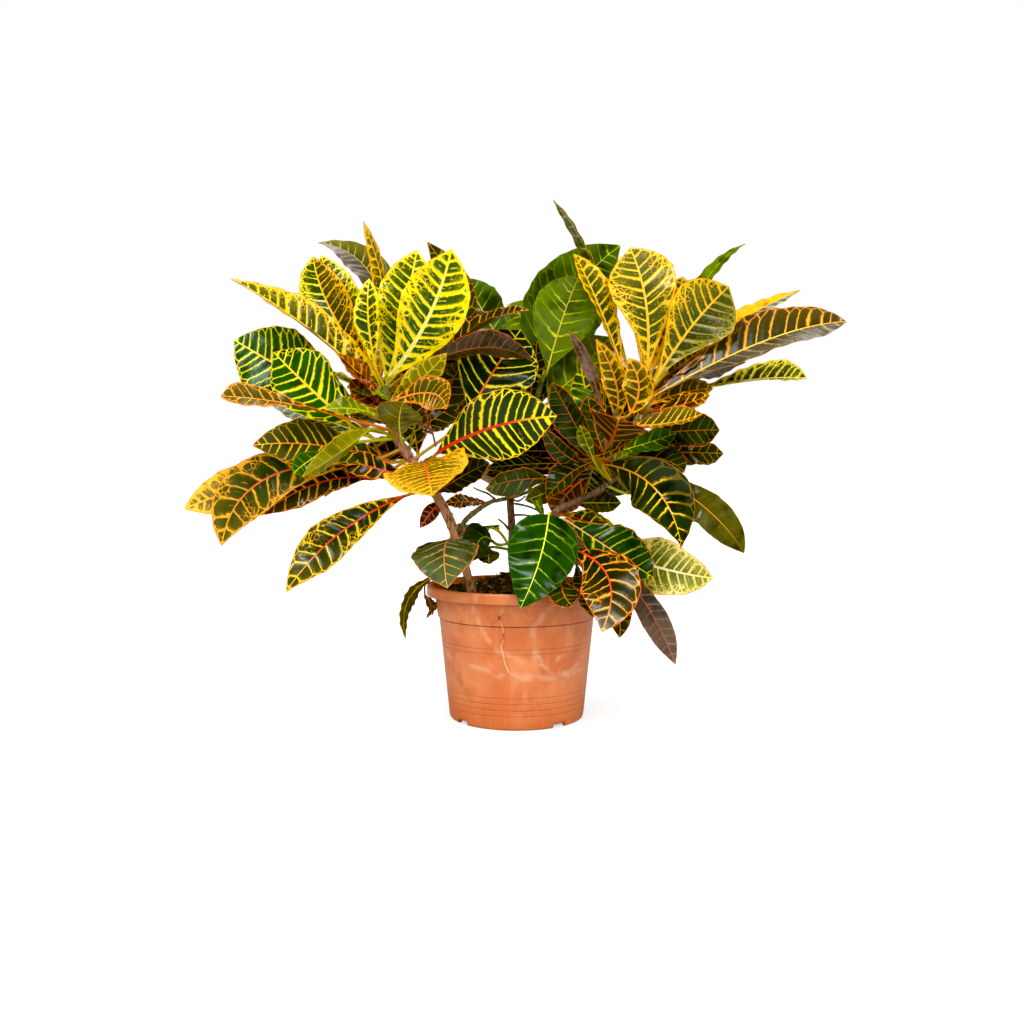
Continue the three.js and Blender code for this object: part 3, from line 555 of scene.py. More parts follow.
def stem_piece(name, stems, colours, node):
    """One mesh of several scarred rods with closed ends, each with a list of colours from foot to top."""
    shells, skins = [], []
    for (foot_radius, top_radius, places), hues in zip(stems, colours):
        path = stepped(places, STEM_STEP)
        shells.append(rod(path, scarred(path, foot_radius, top_radius, stem_draw)))
        skins.append(stem_values(path, hues))
    build(name, *joined(shells), bark, "bark", [node], values={"skin": np.concatenate(skins)})


bark = stem_bark()
stem_piece("left_wood", [LEFT_WOOD], [("#7C5E44", "#A47C56", "#BC8A5A", "#C48A58")], "left_stem")
stem_piece("middle_wood", [MIDDLE_WOOD], [("#7A5A40", "#94704E", "#9A7450")], "middle_stem")
stem_piece("right_wood", [RIGHT_WOOD], [("#6A5442", "#80604C", "#8E5E4A")], "right_stem")


# Leafy stems. This year's and last year's wood: pinkish brown with scars below, green at the tip, where the
# leaves stand close together. They carry on from the woody stems and fork into side branches.
LEFT_STEM = (4.9, 4.4, ((-54.2, -29, 158.7), (-60, -28, 178), (-75, -26, 212), (-101, -26, 250),
                        (-124, -20, 287), (-130, -13, 327)))
CROSS_STEM = (2.6, 1.3, ((-60, -28, 176), (-52, -30, 193), (-40, -26, 204), (-25, -19, 213), (-8, -12, 217),
                         (14, -6, 224), (30, -2, 233), (44, 4, 243)))
MIDDLE_STEM = (4.0, 2.6, ((-5, 31.7, 159.8), (-4.5, 24, 185), (-6, 16, 218), (0, 20, 260), (15, 27, 300),
                          (27, 30, 338)))
ELBOW_STEM = (3.7, 2.7, ((32.1, -22.4, 176.7), (34, -34, 195), (42, -38, 206), (58, -32, 213), (80, -25, 224),
                         (90, -21.5, 230.5)))
ELBOW_STUB = (2.8, 2.4, ((40, -38, 203), (44, -36, 209), (46, -34, 217)))
RIGHT_STEM = (2.7, 2.0, ((91.2, -21, 231.4), (100, -18.5, 238), (110, -16, 247), (119, -14, 268),
                         (126, -12, 296), (133, -12, 327)))
INNER_STEM = (2.2, 1.6, ((110, -16, 247), (92, -22, 256), (88, -22, 275), (100, -17, 306)))
LEFT_AXES = [LEFT_STEM, CROSS_STEM]
ELBOW_AXES = [ELBOW_STEM, ELBOW_STUB]
RIGHT_AXES = [RIGHT_STEM, INNER_STEM]

stem_piece("left_branches", LEFT_AXES,
           [("#C48C58", "#C48A60", "#B87862", "#B0705C", "#9A7442", "#6E7A2A"),
            ("#6A5A34", "#6E6A34", "#5C6A2A")], "left_shoot")
stem_piece("middle_branch", [MIDDLE_STEM], [("#9A7450", "#7E5C44", "#6A6238", "#5C6A2A")], "middle_shoot")
stem_piece("elbow_branches", ELBOW_AXES,
           [("#7A4A3A", "#8A6048", "#6A4A38", "#7A5A40"), ("#6A4A38", "#5A3A2A")], "elbow_shoot")
stem_piece("right_branches", RIGHT_AXES,
           [("#7A5A40", "#7A6038", "#6E7A2A"), ("#7A6038", "#6E7A2A")], "right_shoot")


# Twigs, spent flowers and a bud. Dry stubs of broken side twigs, the pink-brown stalks and calyces that the
# flowers left on the left stem, and one red bud in the fork of the cross branch. All grow from the stems.
# Each twig: its radius at the foot and at the tip, its colour, and the places that it runs through.
TWIG_SIDES = 8
TWIG_STEP = 0.8
CALYX_COLOURS = ("#C09078", "#D8B09A", "#9A5A48")
BUD_COLOUR = "#D8282C"
TWIGS = [
    (1.3, 0.8, "#8A7A5A", ((-8, 25, 186), (-12, 16, 191), (-18, 10, 196))),
    (1.3, 0.7, "#7A6A50", ((-20, -17, 214.6), (-28, -22, 221), (-38, -28, 225), (-43, -30, 227.5))),
    (1.2, 0.9, "#7E7A3C", ((-6, 18, 212), (6, 6, 210), (16, -4, 207), (26, -12, 202))),
    (1.1, 0.8, "#6A5A40", ((-5, 17, 216), (2, 8, 214), (9, 0, 219))),
    (1.2, 0.8, "#7A8A2C", ((-5, 22, 200), (8, 8, 200), (21, -6, 197.5))),
    (1.3, 0.9, "#8A9A24", ((-106, -26, 264), (-104, -34, 276), (-99.5, -38, 292))),
    (1.0, 0.7, "#B0402C", ((-80, -36, 268), (-84, -38, 284), (-91.5, -38, 304))),
    (0.8, 0.5, "#A8603C", ((-99.5, -38, 292), (-96, -40, 290), (-90, -42, 288))),
    (0.9, 0.8, "#7A5430", ((-68, -8, 125), (-76, -8, 131.5), (-84, -8, 133.2), (-91, -8, 130),
                           (-91.6, -8, 124), (-91, -8, 117))),
]
CALYX_PLACES = [(-101, -38, 294), (-98.5, -39, 295.5), (-100, -38, 291.5), (-96, -40, 288), (-94, -41, 291),
                (-91.5, -41, 286), (-89, -42, 289), (-87.5, -42, 284.5), (-92, -42, 283), (-89.5, -43, 280.5),
                (-86, -42, 287), (-84.5, -42, 282)]
BUD_PLACE = (-52.5, -31, 185.5)


dry_draw = np.random.default_rng(61)
twig_shells, twig_colours = [], []
for foot_radius, tip_radius, hue, places in TWIGS:
    path = stepped(places, TWIG_STEP, 60)
    radii = np.linspace(foot_radius, tip_radius, len(path))[:, None]
    radii = radii * dry_draw.uniform(0.85, 1.15, (len(path), 1))
    twig_shells.append(rod(path, radii, TWIG_SIDES))
    twig_colours.append(np.tile(colour(hue), (len(path) * TWIG_SIDES, 1)))
twig_points, twig_groups = joined(twig_shells)
for spot in CALYX_PLACES + [BUD_PLACE]:
    is_bud = spot is BUD_PLACE
    size = np.array([1.3, 1.3, 2.6]) if is_bud else dry_draw.uniform(0.7, 1.7, 3)
    husk = lump * size * (1 + 0.3 * dry_draw.uniform(-1, 1, (len(lump), 1)) * (not is_bud))
    hue = BUD_COLOUR if is_bud else CALYX_COLOURS[int(dry_draw.integers(3))]
    twig_groups.append(lump_groups[0] + len(twig_points))
    twig_points = np.concatenate([twig_points, husk + placed(spot)])
    twig_colours.append(np.tile(colour(hue), (len(husk), 1)))
build("twigs_and_spent_flowers", twig_points, twig_groups, bark, "bark",
      values={"skin": np.concatenate(twig_colours)})


# Root thread. One pale root tip that grew out over the rim and dried on the pot's front wall, with dark
# crumbs of peat still knotted in it. It lies along the collar, drops over the step and follows the body. Its
# places are (x, z) on the wall.
ROOT_THREAD = ((-11.8, 117.2), (-14.4, 112.5), (-16.6, 108), (-14.4, 104.5), (-12.6, 99.5), (-12.2, 95.6),
               (-11.4, 87), (-14.4, 82.5), (-13.7, 78), (-11.8, 72.6), (-11.4, 66.5), (-9.1, 61),
               (-6.8, 56.5), (-3.4, 54.2))
THREAD_STEPS = 240
THREAD_SIDES = 8


def dried_root():
    """Dry root skin: pale tan, matt and finely wrinkled, which shows as a light line on the orange wall."""
    material, add = new_material("dried_root_skin")
    wrinkles = add("TexNoise", add("TexCoord", out=3), Scale=1 / (0.6 * MM), Detail=2)
    skin = add("Attribute", attribute_name="skin")
    base = add("Mix", wrinkles, skin, colour("#FFE6C0"), blend_type="MULTIPLY", **TINT)
    rough = add("Math", wrinkles, 0.15, 0.72, **TIMES_PLUS)
    return surface(material, base, rough, wrinkles, 0.08, IOR=1.45)


at_knots = np.linspace(0, 1, len(ROOT_THREAD))
at = np.linspace(0, 1, THREAD_STEPS)
rounding = np.exp(-np.linspace(-2, 2, 21) ** 2)
rounding /= rounding.sum()
thread_x, thread_z = (np.convolve(np.pad(np.interp(at, at_knots, line), 10, "edge"), rounding, "valid")
                      for line in np.transpose(ROOT_THREAD))
swollen = np.clip((86 - thread_z) / 6, 0, 1) * np.clip((thread_z - 52) / 6, 0, 1)
knotty = np.exp(-((thread_z - 109) / 3.2) ** 2) + np.exp(-((thread_z - 91) / 4.2) ** 2)
thick = (0.3 + 0.32 * swollen) * (1 + 0.15 * dry_draw.uniform(-1, 1, THREAD_STEPS))
thick += 0.35 * knotty * dry_draw.uniform(0, 1, THREAD_STEPS)
over = np.where(thread_z > COLLAR_FOOT_Z - 5, np.maximum(thread_z, COLLAR_FOOT_Z), thread_z)
thread_reach = np.array([wall_radius(z) for z in over]) + thick + GAP
thread_path = np.stack([thread_x, -np.sqrt(thread_reach ** 2 - thread_x ** 2), thread_z], axis=-1)
pale, peaty = np.array(colour("#F4CFA0")), np.array(colour("#4A3222"))
stain = np.clip(knotty * dry_draw.uniform(0, 1.6, THREAD_STEPS), 0, 1)[:, None]
thread_skin = np.repeat(pale * (1 - stain) + peaty * stain, THREAD_SIDES, axis=0)
build("root_thread_skin", *joined([rod(thread_path, thick[:, None], THREAD_SIDES)]), dried_root(), "dry_root",
      ["root_thread"], values={"skin": thread_skin})


# Leaves. Thick glossy blades on round stalks, each grown in one piece. The blade is dark green between gold
# veins when young and turns orange to near black with age, and leaves deep in the crown are painted near
# black as shade. A leaf is built as rings from stalk to tip, and its veins are drawn from three maps: the
# vein count, the reach from midrib and margin, and a plain grain.
STALK_RADIUS = 1.45
STALK_DROP = 12.0
BELLY = 1.25
RIB = 1.2
THICKNESS = 0.62
RIPPLE_TURNS = 3.8
RIPPLE_PHASES = (2.3, 0.6)
FRILL = 0.7
FRILL_TURNS = 8.5
VEIN_SLANT = 0.42
VEIN_SWEEP = 0.007
QUILT = 0.55
STALK_RINGS = 9
HALF_COLUMNS = np.array([0.0, 0.07, 0.2, 0.36, 0.54, 0.72, 0.88, 1.0])
COLUMNS = np.concatenate([-HALF_COLUMNS[:0:-1], HALF_COLUMNS])
leaf_draw = np.random.default_rng(5)

# Each kind: the colours of blade, side veins, midrib and margin and of the underside's blade and veins. Then
# how far the veins' colour spreads, how strong the net between them is, how far the blade flushes with their
# colour, and the side veins' spacing in mm
KINDS = {
    "amber": ("#445008", "#F4AC16", "#E4642A", "#F0861A", "#9A7A22", "#E8AA34", 0.12, 0.9, 0.3, 6.5),
    "barred": ("#4A480A", "#EEB61E", "#EC9C2A", "#D8481E", "#5A5020", "#B88A34", 0.085, 0.12, 0.1, 8),
    # Painted shade: this kind colours leaves deep under the crown near black, as they look in shade
    "shaded_black": ("#0C1406", "#6A701E", "#A8702A", "#C8682A", "#242416", "#5A5A2C", 0.035, 0.2, 0.0, 9),
    "bright": ("#1E4E08", "#F2DC10", "#F8EA64", "#F0C41E", "#7E9A2A", "#DEDC4C", 0.14, 0.8, 0.1, 10),
    "bronze": ("#5C5812", "#76701A", "#E89C30", "#8A781E", "#5A5A20", "#A89A38", 0.02, 0.0, 0.0, 14),
    "brown": ("#3C3808", "#EEA422", "#F4CC4A", "#E27A22", "#4A3A30", "#B07A50", 0.08, 0.15, 0.06, 14),
    "cream": ("#52640E", "#F4DE6E", "#FAE8A8", "#EE6E40", "#7A8A3A", "#E8D890", 0.12, 0.75, 0.3, 9),
    "cream_green": ("#1C3A08", "#F4E21E", "#F0C82A", "#F4D01E", "#7E8A2A", "#E8D04C", 0.16, 0.6, 0.1, 6.5),
    "dark": ("#1C2806", "#C29A1E", "#CF7A24", "#A8561E", "#3C3A1C", "#8A6A30", 0.04, 0.25, 0.05, 10),
    "dark_orange": ("#162406", "#F0A01C", "#D63C20", "#E0621E", "#4A4220", "#B07A34", 0.07, 0.35, 0.05, 11),
    "dark_plain": ("#1F300A", "#F0C41E", "#F4A41C", "#A86A20", "#434A20", "#B08A34", 0.06, 0.0, 0.0, 12),
    "dark_yellow": ("#1C2C06", "#EAC21A", "#D23A22", "#E08A22", "#4E4A20", "#B89A34", 0.07, 0.5, 0.08, 13),
    "deep_green": ("#1A4806", "#B0C81E", "#EAF42C", "#2E5A18", "#3E6220", "#A8B840", 0.028, 0.0, 0.0, 15),
    "dried": ("#6A4420", "#9A6A34", "#A87840", "#5A3818", "#5A3A1C", "#8A6030", 0.05, 0.2, 0.0, 5),
    "dull": ("#6E685E", "#8A7E6A", "#D0602A", "#D0502A", "#6E685E", "#8A7E6A", 0.03, 0.0, 0.0, 8),
    "edged": ("#22380A", "#B07A20", "#DA6A20", "#E2541C", "#4A4220", "#9A6A34", 0.03, 0.15, 0.0, 9),
    "fresh": ("#2C5A08", "#C4CC2A", "#D8D83A", "#5E8A14", "#4E6A20", "#A8B040", 0.03, 0.0, 0.0, 12),
    "glossy": ("#235A0C", "#E8DC1C", "#EECE2C", "#E0BC28", "#4E6A2A", "#B8B040", 0.12, 0.3, 0.0, 9.5),
    "glossy_orange": ("#10260A", "#EED81E", "#DC6A1E", "#C8B024", "#3A4A1C", "#A8943A", 0.085, 0.15, 0.0, 12),
    "glossy_red": ("#1C3A0A", "#F6DC1C", "#DC3014", "#F0B41A", "#4E5E24", "#B8A040", 0.125, 0.3, 0.0, 9.2),
    "gold": ("#45540A", "#F2C40E", "#F6C238", "#EE8014", "#8C8A1E", "#DCC03A", 0.12, 0.85, 0.12, 10.5),
    "gold_brown": ("#4A4406", "#EBB812", "#E8922A", "#DC661E", "#6E5C1C", "#CC9A30", 0.09, 0.7, 0.16, 9.5),
    "gold_under": ("#7E800E", "#F2DC34", "#F4D038", "#E8B01C", "#8E8A14", "#F2DC40", 0.14, 0.6, 0.2, 10),
    "green_orange": ("#2E4608", "#EEAC24", "#E8703A", "#EE8A2A", "#54582A", "#C99A38", 0.08, 0.6, 0.12, 15),
    "green_pink": ("#1C4808", "#CEC828", "#EAA470", "#E07A28", "#4E5A24", "#B89038", 0.045, 0.1, 0.0, 11),
    "grey_gold": ("#3E4A26", "#F4C024", "#F08C34", "#F0901E", "#5A5A2A", "#C0902C", 0.085, 0.1, 0.05, 10),
    # Partly painted sheen: the leaf's own green, greyed as it looks under a grey sheen
    "sheen_grey_green": ("#475A3A", "#D8B24A", "#EA7A40", "#E8803A", "#4E5030", "#A87A38", 0.04, 0.0, 0.05, 12),
    "lemon": ("#1F560A", "#F6DC0A", "#FAEC74", "#F6DA14", "#8FA830", "#E8E04C", 0.18, 0.8, 0.06, 11),
    "lilac": ("#5A5044", "#9A8656", "#C8A83A", "#A0683A", "#6A6056", "#A08A6A", 0.04, 0.0, 0.15, 6),
    "lime": ("#66780A", "#C4C42A", "#C8BE34", "#B89A22", "#7E8A14", "#C0BC34", 0.04, 0.2, 0.1, 10),
    "lime_under": ("#6E7A0A", "#D8C81E", "#C8B82A", "#C8A41E", "#8A8A0E", "#C0B424", 0.05, 0.3, 0.2, 10),
    "net": ("#234A08", "#ECDC16", "#ECC82A", "#DDAC1C", "#7A8A24", "#CCC040", 0.1, 0.9, 0.06, 9.5),
    "olive": ("#4A4A08", "#A09A1E", "#D8C82A", "#9A8A18", "#5A5A20", "#A89A38", 0.03, 0.0, 0.0, 13),
    "olive_net": ("#3E4A10", "#DCC020", "#E0B020", "#7A7A1E", "#5E6030", "#A89A48", 0.05, 0.3, 0.1, 12),
    "olive_warm": ("#6A6414", "#B8A02A", "#D8C83A", "#A07A1A", "#5A5A20", "#A89A38", 0.03, 0.0, 0.0, 6),
    "orange": ("#434A08", "#EE9E1C", "#E4501C", "#F07018", "#7A7424", "#D89A34", 0.115, 0.75, 0.22, 11),
    "pink": ("#3A2012", "#E0604A", "#D84A38", "#C8402A", "#4A2A20", "#B8504A", 0.07, 0.1, 0.0, 6),
    "plain": ("#66800A", "#D2D42C", "#D8C83A", "#7A8414", "#66801E", "#B0B440", 0.038, 0.0, 0.0, 13),
    "plain_dark": ("#4E6C0A", "#C4CE2C", "#CCD03C", "#6A7A14", "#5E7A20", "#A8B040", 0.034, 0.0, 0.0, 12),
    "purple": ("#3A4420", "#C09848", "#B8503A", "#96563A", "#6A5240", "#9C7460", 0.055, 0.2, 0.1, 9),
    "red": ("#4A2810", "#F4A848", "#E8602A", "#DA3A22", "#4A2810", "#F4A848", 0.2, 0.15, 0.0, 20),
    "red_brown": ("#42240C", "#E88A24", "#E86C24", "#DC4420", "#48301E", "#B86034", 0.06, 0.35, 0.15, 9),
    "reed": ("#4A5A10", "#D8C428", "#E0C83A", "#D8B428", "#6A6A1C", "#B8A43A", 0.06, 0.0, 0.1, 14),
    # Painted shade: a darker copy of the reed kind, for the half of a leaf that lies in shade
    "reed_dark": ("#3E4A0E", "#9C8E24", "#E8B020", "#C0A420", "#6A6A1C", "#B8A43A", 0.07, 0.0, 0.1, 5),
    # Painted shade: a dull dark green for a leaf low under the crown
    "shade": ("#2A3812", "#5E6E20", "#A8B438", "#4A5A1E", "#3C4418", "#7A8030", 0.03, 0.0, 0.0, 12),
    "slate": ("#302C14", "#C88A24", "#C86A2C", "#C85A28", "#625248", "#C0825A", 0.06, 0.3, 0.0, 7),
    "strap": ("#66780A", "#76880E", "#C8C82A", "#8A8414", "#5E7010", "#9A9A2A", 0.02, 0.0, 0.0, 20),
    "striped": ("#122006", "#C8BE22", "#B87A24", "#E07A2C", "#3C3A1C", "#8A6A30", 0.06, 0.0, 0.0, 5.5),
    "sunburnt": ("#3E460E", "#E8A026", "#EE8834", "#F0741A", "#5A5A1A", "#C0902C", 0.07, 0.5, 0.1, 7),
    # Painted light: a half of a leaf painted bright gold as it looks where lit
    "sunlit": ("#F2B010", "#F8C41A", "#E89C1A", "#E88E14", "#8A8A20", "#E0B030", 0.03, 0.0, 0.0, 10),
    "yellow": ("#3E4A08", "#F8BE0A", "#E88A20", "#F08414", "#9A8A22", "#E8BA34", 0.15, 0.95, 0.3, 12),
    "yellow_dark": ("#3A400A", "#FABE10", "#E87A1E", "#F08A1C", "#8A7A24", "#D8A838", 0.16, 0.95, 0.3, 9),
}

# Each leaf: its kind, or the kinds of its left and right half, then foot, middle and tip as seen from the
# front and the width. Next in degrees the roll from facing the eye, the twist and the fold along the midrib.
# Last the wave of the margin in mm and, where the leaf isn't widest at the usual place, its belly
LEFT_LEAVES = [
    ("gold", (-134, -14, 321), (-205.5, -36, 384), (-281.5, -60, 433), 54, -60, -20, 38, 2, 1.0),
    ("net/gold_brown", (-138, -2, 335), (-182, 8, 400), (-200, 10, 455), 50, 0, 20, 30, 3),
    ("net", (-139, 14, 336), (-173, 32, 402), (-192, 44, 456), 50, 5, 0, 10, 3),
    ("gold", (-134, 6, 338), (-129.5, 11, 413), (-150.5, 12, 489), 30, 55, 0, 25, 2, 1.1),
    ("lilac/olive_net", (-125, 45, 348), (-142, 66, 434), (-195, 66, 468), 50, -45, 10, 15, 2),
    ("net", (-139, -22, 345), (-146, -30, 393), (-145, -26, 433), 28, 25, 0, 20, 2),
    ("bright", (-128, -10, 329), (-111, -12, 398), (-98, -4, 461), 60, -5, 0, 12, 3),
    ("lemon", (-125, -18, 338), (-87, -34, 395), (-64, -40, 462), 64, 0, 0, 8, 3, 1.35),
    ("dark", (-118, 20, 340), (-64, 40, 400), (-88, 40, 469), 52, 0, 0, 10, 2, 0.9),
    ("gold_under", (-128, -24, 306), (-98, -40, 331), (-69, -55, 360), 30, 150, 0, 15, 2),
    ("slate/orange", (-118, 0, 318), (-44, 0, 380), (12, -5, 402), 42, 75, 0, 30, 2),
    ("slate", (-100, -10, 345), (-35, -24, 366), (16, -26, 352), 40, 128, 0, 15, 2),
    ("sunburnt", (-146, -36, 302), (-91.5, -66, 321), (-69.5, -88, 305), 33, 22, 0, 20, 3, 1.9),
    ("glossy", (-156, -20, 303), (-226, -40, 342), (-279, -55, 373), 79, -26, 6, 6, 3),
    ("glossy", (-165, -50, 290), (-206, -66, 327), (-240, -82, 361), 64, -24, 0, 6, 3),
    ("sunburnt", (-128, -38, 285), (-216, -100, 308), (-293, -130, 317.5), 41, -62, 0, 24, 2, 4.4),
    ("lime", (-133, -42, 297), (-162, -66, 305), (-190, -84, 304), 22, -50, 0, 30, 2),
    ("glossy", (-141, -14, 276), (-196, -8, 296), (-247, -20, 312), 46, -60, 0, 10, 2),
    ("grey_gold", (-126, -20, 253), (-196, -52, 269), (-262, -72, 269), 54, -40, 0, 8, 3),
    ("lime_under", (-148, -58, 284), (-172, -88, 265), (-213, -112, 238), 30, -130, 0, 24, 1),
    ("yellow_dark", (-175, 16, 252), (-252, 8, 234), (-331, -8, 206), 46, -20, 0, 8, 3, 1.8),
    ("green_orange", (-160, -38, 250), (-253, -65, 234), (-294, -85, 169), 50, -4, 0, 8, 3),
    ("dark_orange", (-149, -20, 236), (-198, -44, 231), (-258, -52, 199), 36, -30, 0, 12, 3),
    ("dark_orange", (-129, -12, 240), (-166, -6, 250), (-212, -8, 232), 46, -60, 0, 15, 2),
    ("amber", (-93, -40, 252), (-89, -88, 244), (-84, -150, 219), 78, 0, 0, 14, 4),
    # A near-black leaf of painted shade
    ("shaded_black", (-80, -38, 222), (-54, -45, 238), (-27, -48, 252), 48, 55, 0, 10, 2),
    ("pink", (-75, -20, 212), (-84, -30, 204), (-96, -38, 187), 15, 0, 0, 10, 1),
    ("dark_yellow", (-111, -30, 219), (-177, -60, 181), (-230, -85, 123), 42, -18, -50, 8, 3, 1.4),
    ("red_brown", (-130, -25, 306), (-154, -35, 333), (-178, -45, 360), 50, -72, 0, 20, 2),
    ("glossy_red", (-78, -45, 262), (-24, -85, 287), (40, -100, 298), 63, 0, 0, 6, 4),
    ("glossy_orange", (-46, -10, 303), (-22, -3, 343), (4, 14, 383), 82, 16, 0, 6, 2),
    ("dark", (-98, 14, 285), (-72, 18, 318), (-54, 14, 352), 46, 20, 0, 10, 2),
    ("dark", (-100, 8, 276), (-78, 14, 298), (-48, 14, 312), 44, 40, 0, 10, 2),
    ("dark_orange", (-104, 6, 256), (-132, 16, 262), (-168, 26, 252), 40, -50, 0, 12, 2),
    ("dark", (-112, 8, 288), (-136, 20, 300), (-170, 34, 306), 42, -50, 0, 12, 2),
    ("lime", (-124, -16, 312), (-144, -28, 324), (-168, -40, 326), 30, -60, 0, 16, 2),
    ("red_brown", (-118, -6, 280), (-132, -2, 300), (-156, 2, 312), 34, -70, 0, 16, 2),
    ("dark", (-98, 6, 262), (-102, 8, 290), (-106, 8, 320), 34, 10, 0, 10, 2),
    ("dark", (-106, 12, 322), (-80, 20, 346), (-46, 24, 366), 42, 10, 0, 10, 2),
    ("gold_brown", (-130, -4, 306), (-124, -2, 322), (-110, 0, 340), 30, 0, 0, 10, 2),
    ("olive_warm", (-115, -40, 280), (-116, -50, 297), (-112, -58, 312), 44, 6, 0, 10, 2, 1.5),
    ("red_brown", (-134, -28, 309), (-150, -34, 320), (-165, -40, 334), 26, -30, 0, 10, 1),
    ("lime", (-122, -20, 306), (-142, -24, 316), (-166, -30, 318), 24, -40, 0, 14, 1),
    ("fresh", (-193, -84, 262), (-209, -98, 252), (-222, -112, 241), 20, 0, 0, 16, 1),
    ("dark_orange", (-108, -34, 238), (-146, -40, 248), (-182, -44, 258), 26, -20, 0, 12, 1),
]
CROSS_LEAVES = [
    # The two grey-green leaves carry painted sheen in their colour
    ("sheen_grey_green", (-66, -50, 176), (-72, -82, 163), (-69, -112, 127), 64, -12, 0, -6, 3, 0.8),
    ("olive", (-77, -40, 141), (-108, -50, 116), (-111, -60, 76), 20, 55, 0, 8, 1),
    ("sheen_grey_green", (35, -10, 236), (-2, -25, 235), (-31, -40, 226), 36, 42, 0, 14, 2),
    # The near-black leaves in this list are painted shade under the crown
    ("shaded_black", (51, -2, 251), (8, -10, 250), (-30, -14, 246), 40, -65, 0, 10, 2),
    ("striped", (77, -10, 252), (72, -8, 234), (67, -6, 217), 34, 0, 0, 8, 2),
    ("olive", (58, 0, 212), (82, -5, 212), (104, -10, 212), 25, 30, 0, 8, 2),
    ("dark_orange", (-30, 0, 212), (-51, -5, 213), (-72, -10, 211), 26, -60, 0, 8, 1),
    ("shaded_black", (58, 8, 262), (14, 10, 264), (-36, 6, 262), 46, 30, 0, 8, 2),
    ("shaded_black", (44, 10, 244), (4, 16, 246), (-30, 18, 240), 36, 50, 0, 10, 2),
    ("plain", (14, -6, 228), (20, -10, 213), (27, -12, 199), 9, 20, 0, 20, 1),
    ("edged", (76, -18, 252), (52, -26, 240), (30, -32, 216), 34, -45, 0, 26, 2),
    ("red_brown", (72, -6, 240), (50, -12, 221), (38, -16, 200), 34, 0, 0, 10, 2),
    ("olive", (44, -4, 232), (28, -8, 222), (8, -12, 215), 20, 10, 0, 10, 1),
]
MIDDLE_LEAVES = [
    ("plain_dark", (-12, 60, 360), (-33, 66, 401), (-54, 66, 433), 48, -20, 0, 8, 2),
    ("plain", (31, 10, 345), (46, 5, 396), (62, 0, 436), 63, 0, 0, 8, 2, 1.2),
    ("plain_dark", (20, 50, 340), (52, 60, 413.5), (102, 65, 465), 84, 0, 0, 8, 2, 0.85),
    ("plain", (28, 60, 368), (10, 78, 391), (-9, 86, 407), 46, -20, 0, 8, 2),
    # A leaf low under the crown, in painted shade
    ("shade", (-24, 0, 174), (-36, -12, 176), (-44, -24, 154), 38, 10, 0, 8, 2),
    ("olive", (-28, 4, 166), (-28, -6, 160), (-27, -16, 151), 22, 0, 0, 6, 1),
    ("plain", (32, 22, 312), (54, 20, 334), (82, 14, 352), 60, 10, 0, 8, 2),
    ("plain", (30, 42, 318), (66, 46, 348), (92, 42, 376), 52, 0, 0, 8, 2),
    ("dark", (8, 36, 296), (16, 40, 332), (20, 42, 372), 46, 15, 0, 8, 2),
    ("dark", (6, 30, 262), (34, 34, 282), (58, 34, 306), 48, 20, 0, 8, 2),
]
ELBOW_LEAVES = [
    ("deep_green", (32, -50, 200), (23, -85, 155), (4, -112, 107), 65, 0, 0, 6, 2, 0.7),
    ("green_pink", (50, -45, 194), (96, -60, 164), (137, -75, 137), 52, 30, 0, 30, 3),
    ("dark_orange", (56, -58, 166), (92, -98, 136), (85, -124, 83), 54, 0, 0, 6, 3),
    ("dark", (88, -50, 165), (101, -66, 117), (103, -78, 77), 24, 0, 0, 6, 1, 1.3),
    ("cream", (84, -30, 166), (144, -45, 147), (196.5, -55, 137), 54, 10, 0, 8, 8, 0.92),
    ("purple", (80, -35, 170), (126.8, -58, 114), (159, -75, 50.5), 25.5, 180, 0, 8, 3, 1.6),
    ("edged", (44, -72, 138), (47, -98, 121), (56, -110, 109), 30, 20, 0, 6, 1),
    ("dark", (60, -42, 150), (68, -72, 122), (76, -97, 98), 30, 50, 0, 6, 1),
    ("dark_yellow", (46, -30, 200), (74, -20, 192), (98, -22, 184), 36, 55, 0, 10, 2),
]
